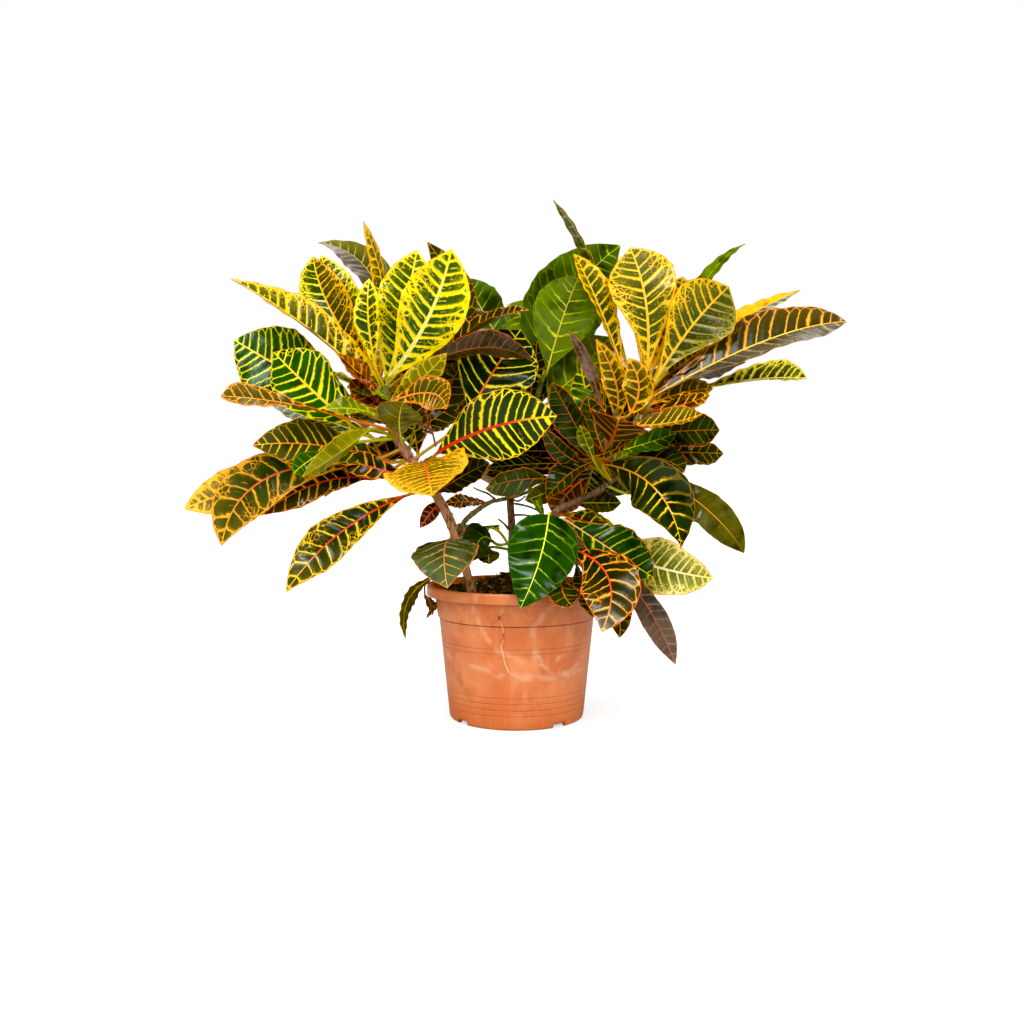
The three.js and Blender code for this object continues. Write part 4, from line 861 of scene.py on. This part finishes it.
RIGHT_LEAVES = [
    ("reed", (106, 20, 358), (76.5, 25, 446), (35.5, 20, 510), 30, 70, 0, 20, 1),
    ("gold", (104, 5, 345), (79, 0, 410), (56, -5, 457), 40, -50, 0, 36, 1),
    ("gold", (127, -5, 328), (128.5, -10, 401), (111.5, 5, 463), 66, 0, 0, 8, 3, 2.1),
    ("gold", (135, 12, 345), (155, 14, 400), (163, 12, 435), 38, 0, 0, 8, 2),
    # Its right half is painted darker as in shade
    ("gold/reed_dark", (134, -12, 328), (171, -20, 384), (209, -30, 425), 68, 2, 0, 24, 2, 1.9),
    ("strap", (140, 24, 345), (182.5, 45, 426), (224.5, 50, 466.5), 28, 60, 0, 15, 0, 1.0),
    # Left half painted bright as lit, right half painted darker as in shade
    ("sunlit/reed_dark", (174, 30, 363), (218, 44, 391), (279, 50, 421.5), 31, 58, 0, 20, 1),
    ("brown/lilac", (136, -14, 317), (242, -34, 370.5), (325, -40, 390.5), 60, 46, -6, 30, 3),
    ("slate", (140, 2, 330), (184, 4, 363), (226, 4, 389), 44, 68, 0, 26, 2),
    ("cream_green", (150, 8, 318), (225, -6, 332.5), (287, -20, 335), 58, 68, 0, 30, 1, 2.6),
    ("gold_brown", (134, -16, 310), (166, -14, 321), (194, -16, 325), 38, 50, 0, 15, 2),
    ("dark_orange", (132, -26, 303), (164, -42, 309), (191, -50, 319), 34, 60, 0, 10, 2),
    ("barred", (112, -34, 288), (152, -62, 291), (184, -76, 300), 40, 62, 0, 28, 1),
    ("edged", (119, -14, 278), (164, -24, 283), (201, -30, 284), 46, 38, 0, 10, 3, 1.5),
    ("dark", (124, 0, 263), (169, 0, 262), (205, 0, 261), 38, 40, 0, 10, 3),
    ("fresh", (79, -18, 258), (119, -32, 268), (158, -38, 281), 40, 55, 0, 10, 3, 1.8),
    ("edged", (85, -28, 254), (136, -38, 257), (166, -46, 242), 42, 50, 0, 12, 3, 1.8),
    ("dark_plain", (87, -38, 251), (138, -85, 226), (164, -105, 166.5), 55, -2, 145, 20, 3, 1.25),
    ("bronze", (134, -10, 243), (190, -30, 205), (226.5, -40, 162), 34, 10, 0, 8, 2),
    ("edged", (76, -20, 257), (54, -30, 298), (35, -35, 331), 36, 25, 0, 38, 2, 1.0),
    ("dull", (86, -5, 300), (72, -10, 345), (51.5, -14, 382), 13, 20, 0, 18, 1),
    ("gold_brown", (99, -15, 295), (98, -20, 333), (78, -20, 374), 26, 20, 0, 20, 2, 1.0),
    ("gold_brown", (113, -30, 301), (121, -35, 328), (110, -35, 355), 32, 10, 0, 20, 2, 1.0),
    ("red", (92, -30, 270), (98, -75, 284), (101, -110, 295), 60, 180, 0, 20, 2),
    ("lime", (77, -32, 254), (69, -42, 274), (62.6, -50, 289), 15, 20, 0, 24, 1),
    ("lime", (84, -24, 250), (96, -32, 254), (112, -38, 262), 14, 30, 0, 10, 1),
    ("dark", (79, -44, 258), (96, -62, 264), (114, -78, 273), 20, 60, 0, 8, 1),
    ("glossy", (86, 8, 272), (72, 14, 310), (64, 16, 346), 36, 10, 0, 10, 2),
    ("edged", (84, 0, 254), (58, 4, 278), (32, 2, 292), 40, 35, 0, 12, 2),
    ("edged", (70, -16, 250), (46, -24, 262), (27, -28, 286), 22, 30, 0, 16, 1),
    ("olive", (100, -4, 257), (100, 0, 238), (112, 4, 223), 36, 20, 0, 8, 2),
    ("olive", (80, 2, 250), (84, 4, 232), (96, 4, 214), 32, 20, 0, 8, 2),
    ("slate", (138, -10, 322), (182, -8, 340), (226, -6, 351), 40, 118, 0, 12, 3),
    ("dark", (110, 14, 284), (102, 18, 316), (92, 18, 350), 52, 0, 0, 10, 2),
    ("edged", (86, -24, 262), (76, -30, 292), (70, -30, 318), 26, -20, 0, 24, 1),
    ("dark", (112, 10, 262), (140, 14, 260), (168, 10, 254), 40, 40, 0, 8, 2),
    ("dark", (92, 6, 250), (78, 10, 262), (66, 14, 290), 44, 10, 0, 10, 2),
    ("dark", (122, 12, 300), (140, 16, 322), (168, 18, 346), 44, 20, 0, 10, 2),
]


# Leaves at the back, written in the same way, with the roll counted from facing the sky
LEFT_BACK_LEAVES = [
    ("gold", (-136, 14, 328), (-158, 85, 378), (-174, 150, 392), 62, 0, 10, 12, 3),
    ("dark", (-114, 20, 328), (-92, 92, 376), (-76, 162, 376), 66, -10, 0, 10, 3),
    ("bright", (-134, 12, 312), (-190, 70, 340), (-235, 130, 335), 60, -10, 10, 12, 3),
    ("glossy", (-120, 15, 315), (-60, 80, 340), (-20, 140, 330), 64, 10, 0, 10, 3),
    ("gold_brown", (-128, 15, 296), (-140, 95, 312), (-150, 175, 285), 66, 0, 10, 8, 3),
    ("yellow", (-125, 12, 280), (-195, 70, 282), (-250, 125, 250), 60, -10, 0, 10, 3),
    ("dark_orange", (-116, 15, 282), (-96, 100, 312), (-74, 175, 296), 62, 10, 0, 8, 3),
    ("glossy", (-110, 12, 256), (-155, 75, 254), (-190, 140, 218), 58, 0, 10, 8, 3),
    ("orange", (-100, 12, 248), (-60, 70, 252), (-20, 120, 228), 56, 0, 0, 8, 3),
]
MIDDLE_BACK_LEAVES = [
    ("glossy", (-18, 46, 184), (-40, 90, 186), (-58, 128, 160), 50, 0, 0, 8, 3),
    ("plain", (22, 45, 310), (0, 105, 330), (-14, 165, 312), 60, 0, 10, 10, 3),
    ("glossy", (10, 40, 270), (40, 105, 285), (60, 165, 262), 58, 0, 0, 8, 3),
]
ELBOW_BACK_LEAVES = [
    ("deep_green", (110, 4, 222), (152, 56, 212), (200, 108, 182), 46, 0, 0, 8, 3),
    ("dark_yellow", (50, -12, 196), (60, 55, 180), (68, 112, 145), 54, 0, 0, 8, 3),
]
RIGHT_BACK_LEAVES = [
    ("gold", (126, 20, 334), (134, 80, 389), (130, 132, 413), 46, -10, 0, 10, 3),
    ("glossy", (138, 20, 322), (182, 88, 360), (212, 150, 362), 60, 10, 10, 12, 3),
    ("gold_brown", (120, 18, 312), (86, 88, 350), (66, 152, 352), 60, -10, 0, 10, 3),
    ("dark_orange", (132, 18, 300), (150, 85, 310), (166, 150, 296), 50, 0, 10, 10, 3),
    ("bright", (124, 20, 290), (122, 100, 306), (118, 175, 280), 62, 0, 0, 10, 3),
    ("dark_yellow", (118, 18, 268), (152, 85, 272), (172, 150, 250), 54, 0, 10, 8, 3),
    ("glossy", (104, 16, 276), (72, 85, 280), (50, 145, 246), 56, 0, 0, 8, 3),
]


def vein_count(t, reach, length, veins, phase):
    """Count of side veins passed at t along the midrib and a reach in mm from it: t times the number of
    veins, less a vein's slant and sweep towards the tip, with uneven spacing from two sine waves."""
    count = veins * (t - (VEIN_SLANT * reach + VEIN_SWEEP * reach ** 2) / length)
    return count + phase + 0.13 * np.sin(2.1 * count + 5 * phase) + 0.06 * np.sin(5.3 * count + 9 * phase)


def stalk_root(start, axes):
    """Point of the stems' axes nearest to a place STALK_DROP under the leaf's foot."""
    samples = np.concatenate([through(axis[2], 61)[2:-1] for axis in axes])
    under = start - [0, 0, STALK_DROP]
    return samples[np.argmin(np.linalg.norm(samples - under, axis=1))]


def bezier(corners, t):
    """Point and direction at t of the Bezier curve over its control points, by repeated halfway blending."""
    level = [np.asarray(corner)[None, :] for corner in corners]
    while len(level) > 2:
        level = [a + (b - a) * t[:, None] for a, b in zip(level, level[1:])]
    return level[0] + (level[1] - level[0]) * t[:, None], unit(level[1] - level[0] + 0 * t[:, None])


def blade_middle(t, half, fold, wave, length, veins, phases, leaf_phase):
    """Steps across and up from the midrib to the blade's middle surface: each half is folded up, its margin
    rippled and frilled by sine waves, and the skin quilted between the side veins."""
    t, half = t[:, None], half[:, None]
    out = np.abs(COLUMNS)
    bent = np.radians(fold * (1 - 0.5 * t))
    arch = np.sin(np.pi * t)
    ripple = np.where(COLUMNS < 0, *(np.sin(RIPPLE_TURNS * np.pi * t + phase) for phase in RIPPLE_PHASES))
    frill = FRILL * np.sin(2 * np.pi * FRILL_TURNS * t + leaf_phase + 2 * np.sign(COLUMNS)) * out ** 4
    counts = np.where(COLUMNS < 0, *(vein_count(t, out * half, length, veins, phase) for phase in phases))
    quilt = QUILT * np.cos(2 * np.pi * counts) * 4 * out * (1 - out) * arch
    up = np.sin(bent) * out * half + wave * ripple * arch * out ** 1.5 + frill * arch ** 0.5 + quilt
    return np.cos(bent) * COLUMNS * half, up


def leaf(row, axes, sky):
    """Rings, maps and values of one leaf. Its midrib is the quadratic Bezier curve through foot, middle and
    tip. The blade's side is turned about it by roll, from facing the eye or the sky, and by twist."""
    kind, foot, middle, tip, width, roll, twist, fold, wave, *rest = row
    belly = rest[0] if rest else BELLY
    start, middle, end = placed(foot), placed(middle), placed(tip)
    pull = 2 * middle - 0.5 * start - 0.5 * end
    midrib = [start, pull, end]
    length = np.linalg.norm(end - start) * 1.04
    t = np.linspace(0, 1, int(np.clip(length * 0.62, 34, 84)))
    spine, along = bezier(midrib, t)
    centre, forward = (value[0] for value in bezier(midrib, np.array([0.5])))
    facing = np.array([0, 0, 1.0]) if sky else unit(np.array([0, -SIGHT_DISTANCE, SIGHT_HEIGHT]) - centre)
    flat_side = unit(np.cross(forward, facing))
    flat_face = np.cross(flat_side, forward)
    side = flat_side * np.cos(np.radians(roll)) + flat_face * np.sin(np.radians(roll))

    phases = leaf_draw.uniform(0, 400, 2)
    leaf_phase, offset = leaf_draw.uniform(0, 6.28), leaf_draw.uniform(0, 2, 2)
    profile = np.sin(np.pi * t ** belly) ** 0.8
    nibble = 1 + 0.012 * np.sin(2 * np.pi * 6 * t + leaf_phase)
    nibble += 0.008 * np.sin(2 * np.pi * 13 * t + 2 * leaf_phase)
    drawn_out = 1 - 0.3 * np.exp(-((1 - t) / 0.06) ** 1.5)
    half = width / 2 * profile * drawn_out * nibble + 1.3 * (1 - t) ** 8 + 0.12
    kinds = [KINDS[name] for name in kind.split("/")]
    veins = np.clip(length / kinds[0][-1], 5, 16)
    across, lift = blade_middle(t, half, fold, wave, length, veins, phases, leaf_phase)
    reach = np.abs(COLUMNS) * half[:, None]
    young = (1 - t)[:, None]
    thick = THICKNESS * (1 - 0.45 * np.abs(COLUMNS) ** 2)[None, :] / 2
    keel = (0.25 + RIB * young) * np.exp(-(reach / (0.7 + 0.9 * young)) ** 2)
    crest = (1.2 * young ** 14 + 0.12) * np.exp(-(reach / 0.9) ** 2)
    blade_across = np.concatenate([across, across[:, ::-1]], axis=1)
    blade_up = np.concatenate([lift + thick + crest, (lift - thick - keel)[:, ::-1]], axis=1)

    root = stalk_root(start, axes)
    gap = np.linalg.norm(root - start)
    u = np.linspace(0, 1, STALK_RINGS + 1)[:-1]
    stalk, stalk_along = bezier([root, root + (start - root) * 0.35, start - along[0] * gap * 0.35, start], u)
    swell = (1 + 0.35 * np.exp(-(u / 0.12) ** 2) + 0.12 * np.exp(-((1 - u) / 0.15) ** 2))[:, None]
    stalk_side = STALK_RADIUS * swell * COLUMNS
    stalk_top = STALK_RADIUS * swell * np.sqrt(np.clip(1 - COLUMNS ** 2, 0, 1))
    stalk_across = np.concatenate([stalk_side, stalk_side[:, ::-1]], axis=1)
    stalk_up = np.concatenate([stalk_top, -stalk_top[:, ::-1]], axis=1)

    spine = np.concatenate([stalk, spine])
    along = np.concatenate([stalk_along, along])
    turn = np.radians(np.concatenate([np.full(STALK_RINGS, -twist / 2), twist * (t - 0.5)]))[:, None]
    level = unit(side - along * (along @ side)[:, None])
    face = np.cross(level, along)
    right = (level * np.cos(turn) + face * np.sin(turn))[:, None, :]
    up = (face * np.cos(turn) - level * np.sin(turn))[:, None, :]
    rings = spine[:, None, :] + right * np.concatenate([stalk_across, blade_across])[..., None]
    rings += up * np.concatenate([stalk_up, blade_up])[..., None]
    return rings, *leaf_maps(kinds, t, reach, half, length, veins, phases, offset)


def leaf_maps(kinds, t, reach, half, length, veins, phases, offset):
    """UV values over the ring quads and values over the points. The vein count runs on its own on each side
    of the midrib, so a quad reads the count of its own side at all four corners."""
    both = np.concatenate([COLUMNS, COLUMNS[::-1]])
    stations = STALK_RINGS + len(t)
    pad = ((STALK_RINGS, 0), (0, 0))
    reach = np.pad(np.concatenate([reach, reach[:, ::-1]], axis=1), pad)
    at = np.concatenate([np.linspace(-1, 0, STALK_RINGS + 1)[:-1], t])[:, None] + 0 * both
    edge = np.pad(half[:, None] * (1 - np.abs(both)), pad, constant_values=5.0)
    counts = np.stack([vein_count(at, reach, length, veins, phase) for phase in phases])
    signed = reach * np.sign(both)
    i, k = (index.ravel() for index in np.indices((stations - 1, len(both))))
    next_k = (k + 1) % len(both)
    rows = np.stack([i, i, i + 1, i + 1], axis=-1)
    columns = np.stack([k, next_k, next_k, k], axis=-1)
    own_side = (both[k] + both[next_k] > 0).astype(int)[:, None] + 0 * rows
    layers = {
        "veins": np.stack([counts[own_side, rows, columns], np.abs(both)[columns]], axis=-1),
        "reach": np.stack([reach[rows, columns], edge[rows, columns]], axis=-1) * MM,
        "grain": np.stack([(at * length)[rows, columns], signed[rows, columns]], axis=-1) * MM + offset,
    }
    under = (np.arange(len(both)) >= len(COLUMNS)) + 0.0
    shift = leaf_draw.uniform(0.86, 1.14)
    right_half = (both > 0) + 0.0

    def painted(upper, lower):
        """Colours over the ring's points: the first kind's on the left half, the last's on the right."""
        halves = [np.outer(under, colour(kind[lower])) + np.outer(1 - under, colour(kind[upper]))
                  for kind in (kinds[0], kinds[-1])]
        return halves[0] * (1 - right_half)[:, None] + halves[1] * right_half[:, None]

    paint = {"blade": painted(0, 4) * [shift, shift, shift, 1], "vein": painted(1, 5), "rib": painted(2, 2),
             "margin": painted(3, 3)}
    values = {name: np.tile(value, (stations, 1)) for name, value in paint.items()}
    spread, net, flush = kinds[0][6:9]
    values["along"] = at.ravel()
    values["under"] = np.tile(under, stations)
    values["spread"] = np.full(at.size, spread) * (1 - 0.35 * np.tile(under, stations))
    values["net"] = np.full(at.size, net)
    values["flush"] = np.full(at.size, flush) * (1 - 0.7 * np.tile(under, stations))
    return layers, values


def leaf_skin():
    """Croton leaf, living: waxy cuticle over a leathery blade, glossy above and dull below. Pale side veins
    fork and meet in loops near the margin, and a fine net and specks lie between them."""
    material, add = new_material("living_croton_leaf")
    count, share = (add("SeparateXYZ", add("UVMap", uv_map="veins"), out=i) for i in (0, 1))
    reach, edge = (add("SeparateXYZ", add("UVMap", uv_map="reach"), out=i) for i in (0, 1))
    grain = add("UVMap", uv_map="grain")
    blade, vein, rib, margin = (add("Attribute", attribute_name=name)
                                for name in ("blade", "vein", "rib", "margin"))
    along, spread, net, flush, under = (add("Attribute", attribute_name=name, out=2)
                                        for name in ("along", "spread", "net", "flush", "under"))
    wide = add("TexNoise", grain, Scale=1 / (25 * MM), Detail=2)
    fine = add("TexNoise", grain, Scale=1 / (5 * MM), Detail=3)
    tiny = add("TexNoise", grain, Scale=1 / (1.2 * MM), Detail=3)
    # Side veins: a line at each half count, which forks towards the margin and meets its neighbour there
    bent = add("Math", fine, 0.26, count, **TIMES_PLUS)
    off = add("Math", add("Math", add("Math", bent, operation="FRACT"), 0.5, **MINUS), **SIZE_OF)
    own = add("TexWhiteNoise", add("Math", bent, operation="FLOOR"), noise_dimensions="1D")
    fork_at = add("Math", own, 0.3, add("Math", net, -0.3, 0.72, **TIMES_PLUS), **TIMES_PLUS)
    fork = add("MapRange", share, fork_at, 1.0, 0, 0.47, interpolation_type="SMOOTHERSTEP")
    ragged = add("Math", add("Math", tiny, 0.5, **MINUS), add("Math", spread, 1.1, **TIMES), **TIMES)
    branch = add("Math", add("Math", add("Math", off, fork, **MINUS), **SIZE_OF), ragged, **PLUS)
    uneven = add("Math", fine, 1.3, 0.35, **TIMES_PLUS)
    taper = add("Math", share, -0.35, 1.15, **TIMES_PLUS)
    breadth = add("Math", add("Math", spread, uneven, **TIMES), taper, **TIMES)
    # On leaves with a strong net the veins flow together in a band along the margin, with islands left in it
    band_reach = add("Math", add("Math", spread, net, **TIMES), 17 * MM, **TIMES)
    to_band = add("Math", edge, add("Math", fine, 1.4 * MM, band_reach, **TIMES_PLUS), **MINUS)
    ends = add("MapRange", to_band, 3 * MM, 0, 0, add("Math", net, 0.16, **TIMES), **SMOOTH)
    breadth = add("Math", breadth, ends, **PLUS)
    side_vein = add("MapRange", branch, breadth, add("Math", breadth, 0.6, **TIMES), **SMOOTH)
    # On leaves without a net the side veins are dashes, which fade out before the margin
    faded = add("MapRange", add("Math", share, 0.8, wide, **TIMES_PLUS), 1.0, 0.8, **SMOOTH)
    side_vein = add("Math", side_vein, add("Math", net, 5.0, faded, use_clamp=True, **TIMES_PLUS), **TIMES)
    # Thin broken lines midway between them, then the net and the specks
    broken = add("MapRange", add("TexNoise", grain, Scale=1 / (7 * MM), Detail=2), 0.5, 0.58, **SMOOTH)
    middle = add("MapRange", off, add("Math", breadth, -0.35, 0.5, **TIMES_PLUS), 0.5, **SMOOTH)
    inner = add("MapRange", share, 0.75, 0.45, **SMOOTH)
    middle = add("Math", add("Math", middle, broken, **TIMES), inner, **TIMES)
    shaken = add("Mix", 0.0012, grain, add("TexNoise", grain, Scale=1 / (4 * MM), out=1), data_type="VECTOR")
    cells = add("TexVoronoi", shaken, Scale=1 / (5.6 * MM), feature="DISTANCE_TO_EDGE")
    thread = add("Math", uneven, add("Math", spread, 0.5, 0.02, **TIMES_PLUS), **TIMES)
    mesh = add("MapRange", cells, thread, add("Math", thread, 0.45, **TIMES), **SMOOTH)
    mesh_here = add("Math", share, 0.45, add("Math", wide, 0.8, **TIMES), **TIMES_PLUS)
    mesh = add("Math", mesh, add("MapRange", mesh_here, 0.55, 0.8, **SMOOTH), **TIMES)
    dots = add("TexVoronoi", grain, Scale=1 / (3.6 * MM))
    lot = add("SeparateXYZ", add("TexVoronoi", grain, Scale=1 / (3.6 * MM), out=1))
    picked = add("MapRange", lot, 0.76, 0.8, **SMOOTH)
    specks = add("Math", add("MapRange", dots, 0.22, 0.1, **SMOOTH), picked, **TIMES)
    lace = add("Math", add("Math", mesh, middle, operation="MAXIMUM"), specks, operation="MAXIMUM")
    lace_here = add("Math", add("Math", net, 0.8, **TIMES), add("Math", wide, 1.2, **TIMES), **PLUS)
    lace_here = add("MapRange", lace_here, 0.95, 1.1, **SMOOTH)
    islands = add("MapRange", dots, 0.42, 0.3, **SMOOTH)
    band = add("MapRange", to_band, 0.4 * MM, -0.4 * MM, **SMOOTH)
    band = add("Math", band, islands, use_clamp=True, **MINUS)
    band = add("Math", band, add("MapRange", net, 0.4, 0.6), **TIMES)
    lines = add("Math", side_vein, add("Math", lace, lace_here, **TIMES), operation="MAXIMUM")
    lines = add("Math", lines, band, operation="MAXIMUM")
    # Midrib and margin, by their distance
    rib_half = add("Math", add("Math", spread, 13 * MM, 0.5 * MM, **TIMES_PLUS),
                   add("Math", along, -0.6, 1.0, **TIMES_PLUS), **TIMES)
    rib_line = add("MapRange", reach, rib_half, add("Math", rib_half, 0.65, **TIMES), **SMOOTH)
    rim_half = add("Math", fine, 1.5 * MM, 0.15 * MM, **TIMES_PLUS)
    rim_line = add("MapRange", edge, rim_half, add("Math", rim_half, 0.5, **TIMES), **SMOOTH)
    # The blade: cloudy, with a halo beside the veins, and flushed with their colour towards tip and margin
    clouded = add("MapRange", wide, 0.45, 0.7, **SMOOTH)
    shade = add("Mix", clouded, blade, colour("#8C9080"), blend_type="MULTIPLY", **TINT)
    halo = add("MapRange", branch, add("Math", breadth, 0.1, **PLUS), breadth, 0, 0.16, **SMOOTH)
    warm = add("Math", add("Math", share, 0.6, add("Math", wide, 0.9, **TIMES), **TIMES_PLUS), along, **PLUS)
    warm = add("Math", add("MapRange", warm, 0.9, 1.75, **SMOOTH), flush, **TIMES)
    tinted = add("Mix", add("Math", halo, warm, **PLUS), shade, vein, **TINT)
    base = add("Mix", lines, tinted, vein, **TINT)
    base = add("Mix", rim_line, base, margin, **TINT)
    rib_hue = add("Mix", add("MapRange", along, 0.6, 1.0, **SMOOTH), rib, vein, **TINT)
    base = add("Mix", rib_line, base, rib_hue, **TINT)
    stalk_hue = add("Mix", 0.35, colour("#A9AE2C"), rib, **TINT)
    base = add("Mix", add("MapRange", along, 0.02, -0.1, **SMOOTH), base, stalk_hue, **TINT)
    waxy = add("Math", flush, 0.7, add("Math", under, 0.25, 0.16, **TIMES_PLUS), **TIMES_PLUS)
    rough = add("Math", fine, 0.1, waxy, **TIMES_PLUS)
    relief = add("Math", lines, add("Math", under, 1.2, -0.6, **TIMES_PLUS), **TIMES)
    relief = add("Math", tiny, 0.35, relief, **TIMES_PLUS)
    return surface(material, base, rough, relief, 0.25, IOR=1.4, Coat_Weight=0.08, Coat_Roughness=0.12)


def leaf_piece(name, rows, axes, slot, node, sky=False):
    """One mesh of a shoot's leaves, each leaf closed in itself and sunk in its stem."""
    leaves = [leaf(row, axes, sky) for row in rows]
    points, faces = joined([rings for rings, _, _ in leaves])
    cap_corners = np.zeros((faces[1].size + faces[2].size, 2))
    layers = {key: np.concatenate([maps[key].reshape(-1, 2) for _, maps, _ in leaves] + [cap_corners])
              for key in leaves[0][1]}
    values = {key: np.concatenate([numbers[key] for _, _, numbers in leaves]) for key in leaves[0][2]}
    build(name, points, faces, leaf_finish, slot, [node], layers, values)


leaf_finish = leaf_skin()
leaf_piece("left_crown_leaves", LEFT_LEAVES, LEFT_AXES, "gold_leaves", "left_shoot")
leaf_piece("cross_branch_leaves", CROSS_LEAVES, LEFT_AXES, "gold_leaves", "left_shoot")
leaf_piece("left_back_leaves", LEFT_BACK_LEAVES, LEFT_AXES, "gold_leaves", "left_shoot", sky=True)
leaf_piece("middle_leaves", MIDDLE_LEAVES, [MIDDLE_STEM], "green_leaves", "middle_shoot")
leaf_piece("middle_back_leaves", MIDDLE_BACK_LEAVES, [MIDDLE_STEM], "green_leaves", "middle_shoot", sky=True)
leaf_piece("elbow_leaves", ELBOW_LEAVES, ELBOW_AXES, "lower_leaves", "elbow_shoot")
leaf_piece("elbow_back_leaves", ELBOW_BACK_LEAVES, ELBOW_AXES, "lower_leaves", "elbow_shoot", sky=True)
leaf_piece("right_crown_leaves", RIGHT_LEAVES, RIGHT_AXES, "orange_leaves", "right_shoot")
leaf_piece("right_back_leaves", RIGHT_BACK_LEAVES, RIGHT_AXES, "orange_leaves", "right_shoot", sky=True)


# Dried leaves. Two old leaves that withered on the soil and curled over the rim at the left: dull brown, thin
# and crumpled, with the veins no more than lighter ridges.
DRIED_STALK = (1.0, 1.0, ((-91.4, -8, 122), (-91, -8, 118.5)))
DRIED_LEAVES = [
    ("dried", (-90.5, -10, 118), (-86, -16, 108), (-90, -14, 97), 12, 35, 70, 34, 2, 1.0),
    ("dried", (-90.5, -8, 117), (-84.5, -12, 110), (-84, -12, 100), 9, 120, -60, 30, 2, 1.0),
]
leaf_piece("dried_leaves", DRIED_LEAVES, [DRIED_STALK], "dried_leaf", "dried_leaf")


# Studio. A plain white floor and surround, a large soft light high at the left, weaker ones at the right and
# above, and a lens at the height of the crown that looks a little down, as the plant was photographed.
LENS_PIXELS = 1033.0
IMAGE_PIXELS = 1024.0
SENSOR_MM = 36.0
LENS_PITCH = 2.62
LENS_YAW = 0.25
FLOOR_SIZE = 60.0


def soft_light(name, heading, height, spread, power, tint, gloss):
    """Far light as wide as the spread, from a heading round the plant and a height above it, in degrees. It
    either lights the surfaces or is only mirrored in their gloss, as the bare tube in a softbox is."""
    data = bpy.data.lights.new(name, "SUN")
    data.angle = np.radians(spread)
    data.energy = power
    data.color = tint
    lamp = bpy.data.objects.new(name, data)
    lamp.rotation_euler = (np.radians(90 - height), 0, np.radians(heading))
    lamp.visible_glossy = gloss
    lamp.visible_diffuse = not gloss
    bpy.context.scene.collection.objects.link(lamp)


floor_corners = np.array([(-1, -1, 0), (1, -1, 0), (1, 1, 0), (-1, 1, 0)]) * FLOOR_SIZE / 2
floor_mesh = bpy.data.meshes.new("studio_floor")
floor_mesh.from_pydata(floor_corners.tolist(), [], [(0, 1, 2, 3)])
floor = bpy.data.objects.new("studio_floor", floor_mesh)
bpy.context.scene.collection.objects.link(floor)
# Matt paper that glows a little where the lens sees it, so that it reads as white up to the horizon
floor_paint, add = new_material("matt_white_paper")
paper = floor_paint.node_tree.nodes["Principled BSDF"].inputs
paper["Base Color"].default_value = (0.42, 0.42, 0.42, 1)
paper["Roughness"].default_value = 0.9
paper["Emission Color"].default_value = (1, 1, 1, 1)
glow = add("Math", add("LightPath"), 0.62, **TIMES)
floor_paint.node_tree.links.new(glow, paper["Emission Strength"])
floor_mesh.materials.append(floor_paint)

soft_light("key_softbox", -42, 58, 90, 3.8, (1.0, 0.985, 0.96), False)
soft_light("fill_softbox", 40, 30, 80, 2.2, (0.98, 0.985, 1.0), False)
soft_light("top_softbox", 170, 60, 80, 1.7, (1.0, 1.0, 1.0), False)
soft_light("left_tube", -38, 40, 17, 1.1, (0.9, 0.96, 1.0), True)
soft_light("right_tube", 36, 44, 15, 0.7, (0.9, 0.96, 1.0), True)
soft_light("back_tube", 165, 50, 30, 0.7, (0.92, 0.97, 1.0), True)
world = bpy.data.worlds.new("studio_surround")
bpy.context.scene.world = world
world.cycles_visibility.glossy = False
world.use_nodes = True
surround = add_node(world, "Mix", add_node(world, "LightPath"), (0.2, 0.21, 0.22, 1), (1, 1, 1, 1), **TINT)
world.node_tree.links.new(surround, world.node_tree.nodes["Background"].inputs["Color"])

lens = bpy.data.cameras.new("camera")
lens.lens = LENS_PIXELS / IMAGE_PIXELS * SENSOR_MM
lens.sensor_width = SENSOR_MM
camera = bpy.data.objects.new("camera", lens)
camera.location = (0, -SIGHT_DISTANCE * MM, SIGHT_HEIGHT * MM)
camera.rotation_euler = (np.radians(90 - LENS_PITCH), 0, np.radians(LENS_YAW))
bpy.context.scene.collection.objects.link(camera)
bpy.context.scene.camera = camera
bpy.context.scene.view_settings.view_transform = "Standard"
bpy.context.scene.view_settings.gamma = 0.92
bpy.context.scene.view_settings.use_curve_mapping = True
bpy.context.scene.view_settings.curve_mapping.black_level = (0.004, 0.004, 0.015)
bpy.context.scene.view_settings.curve_mapping.update()
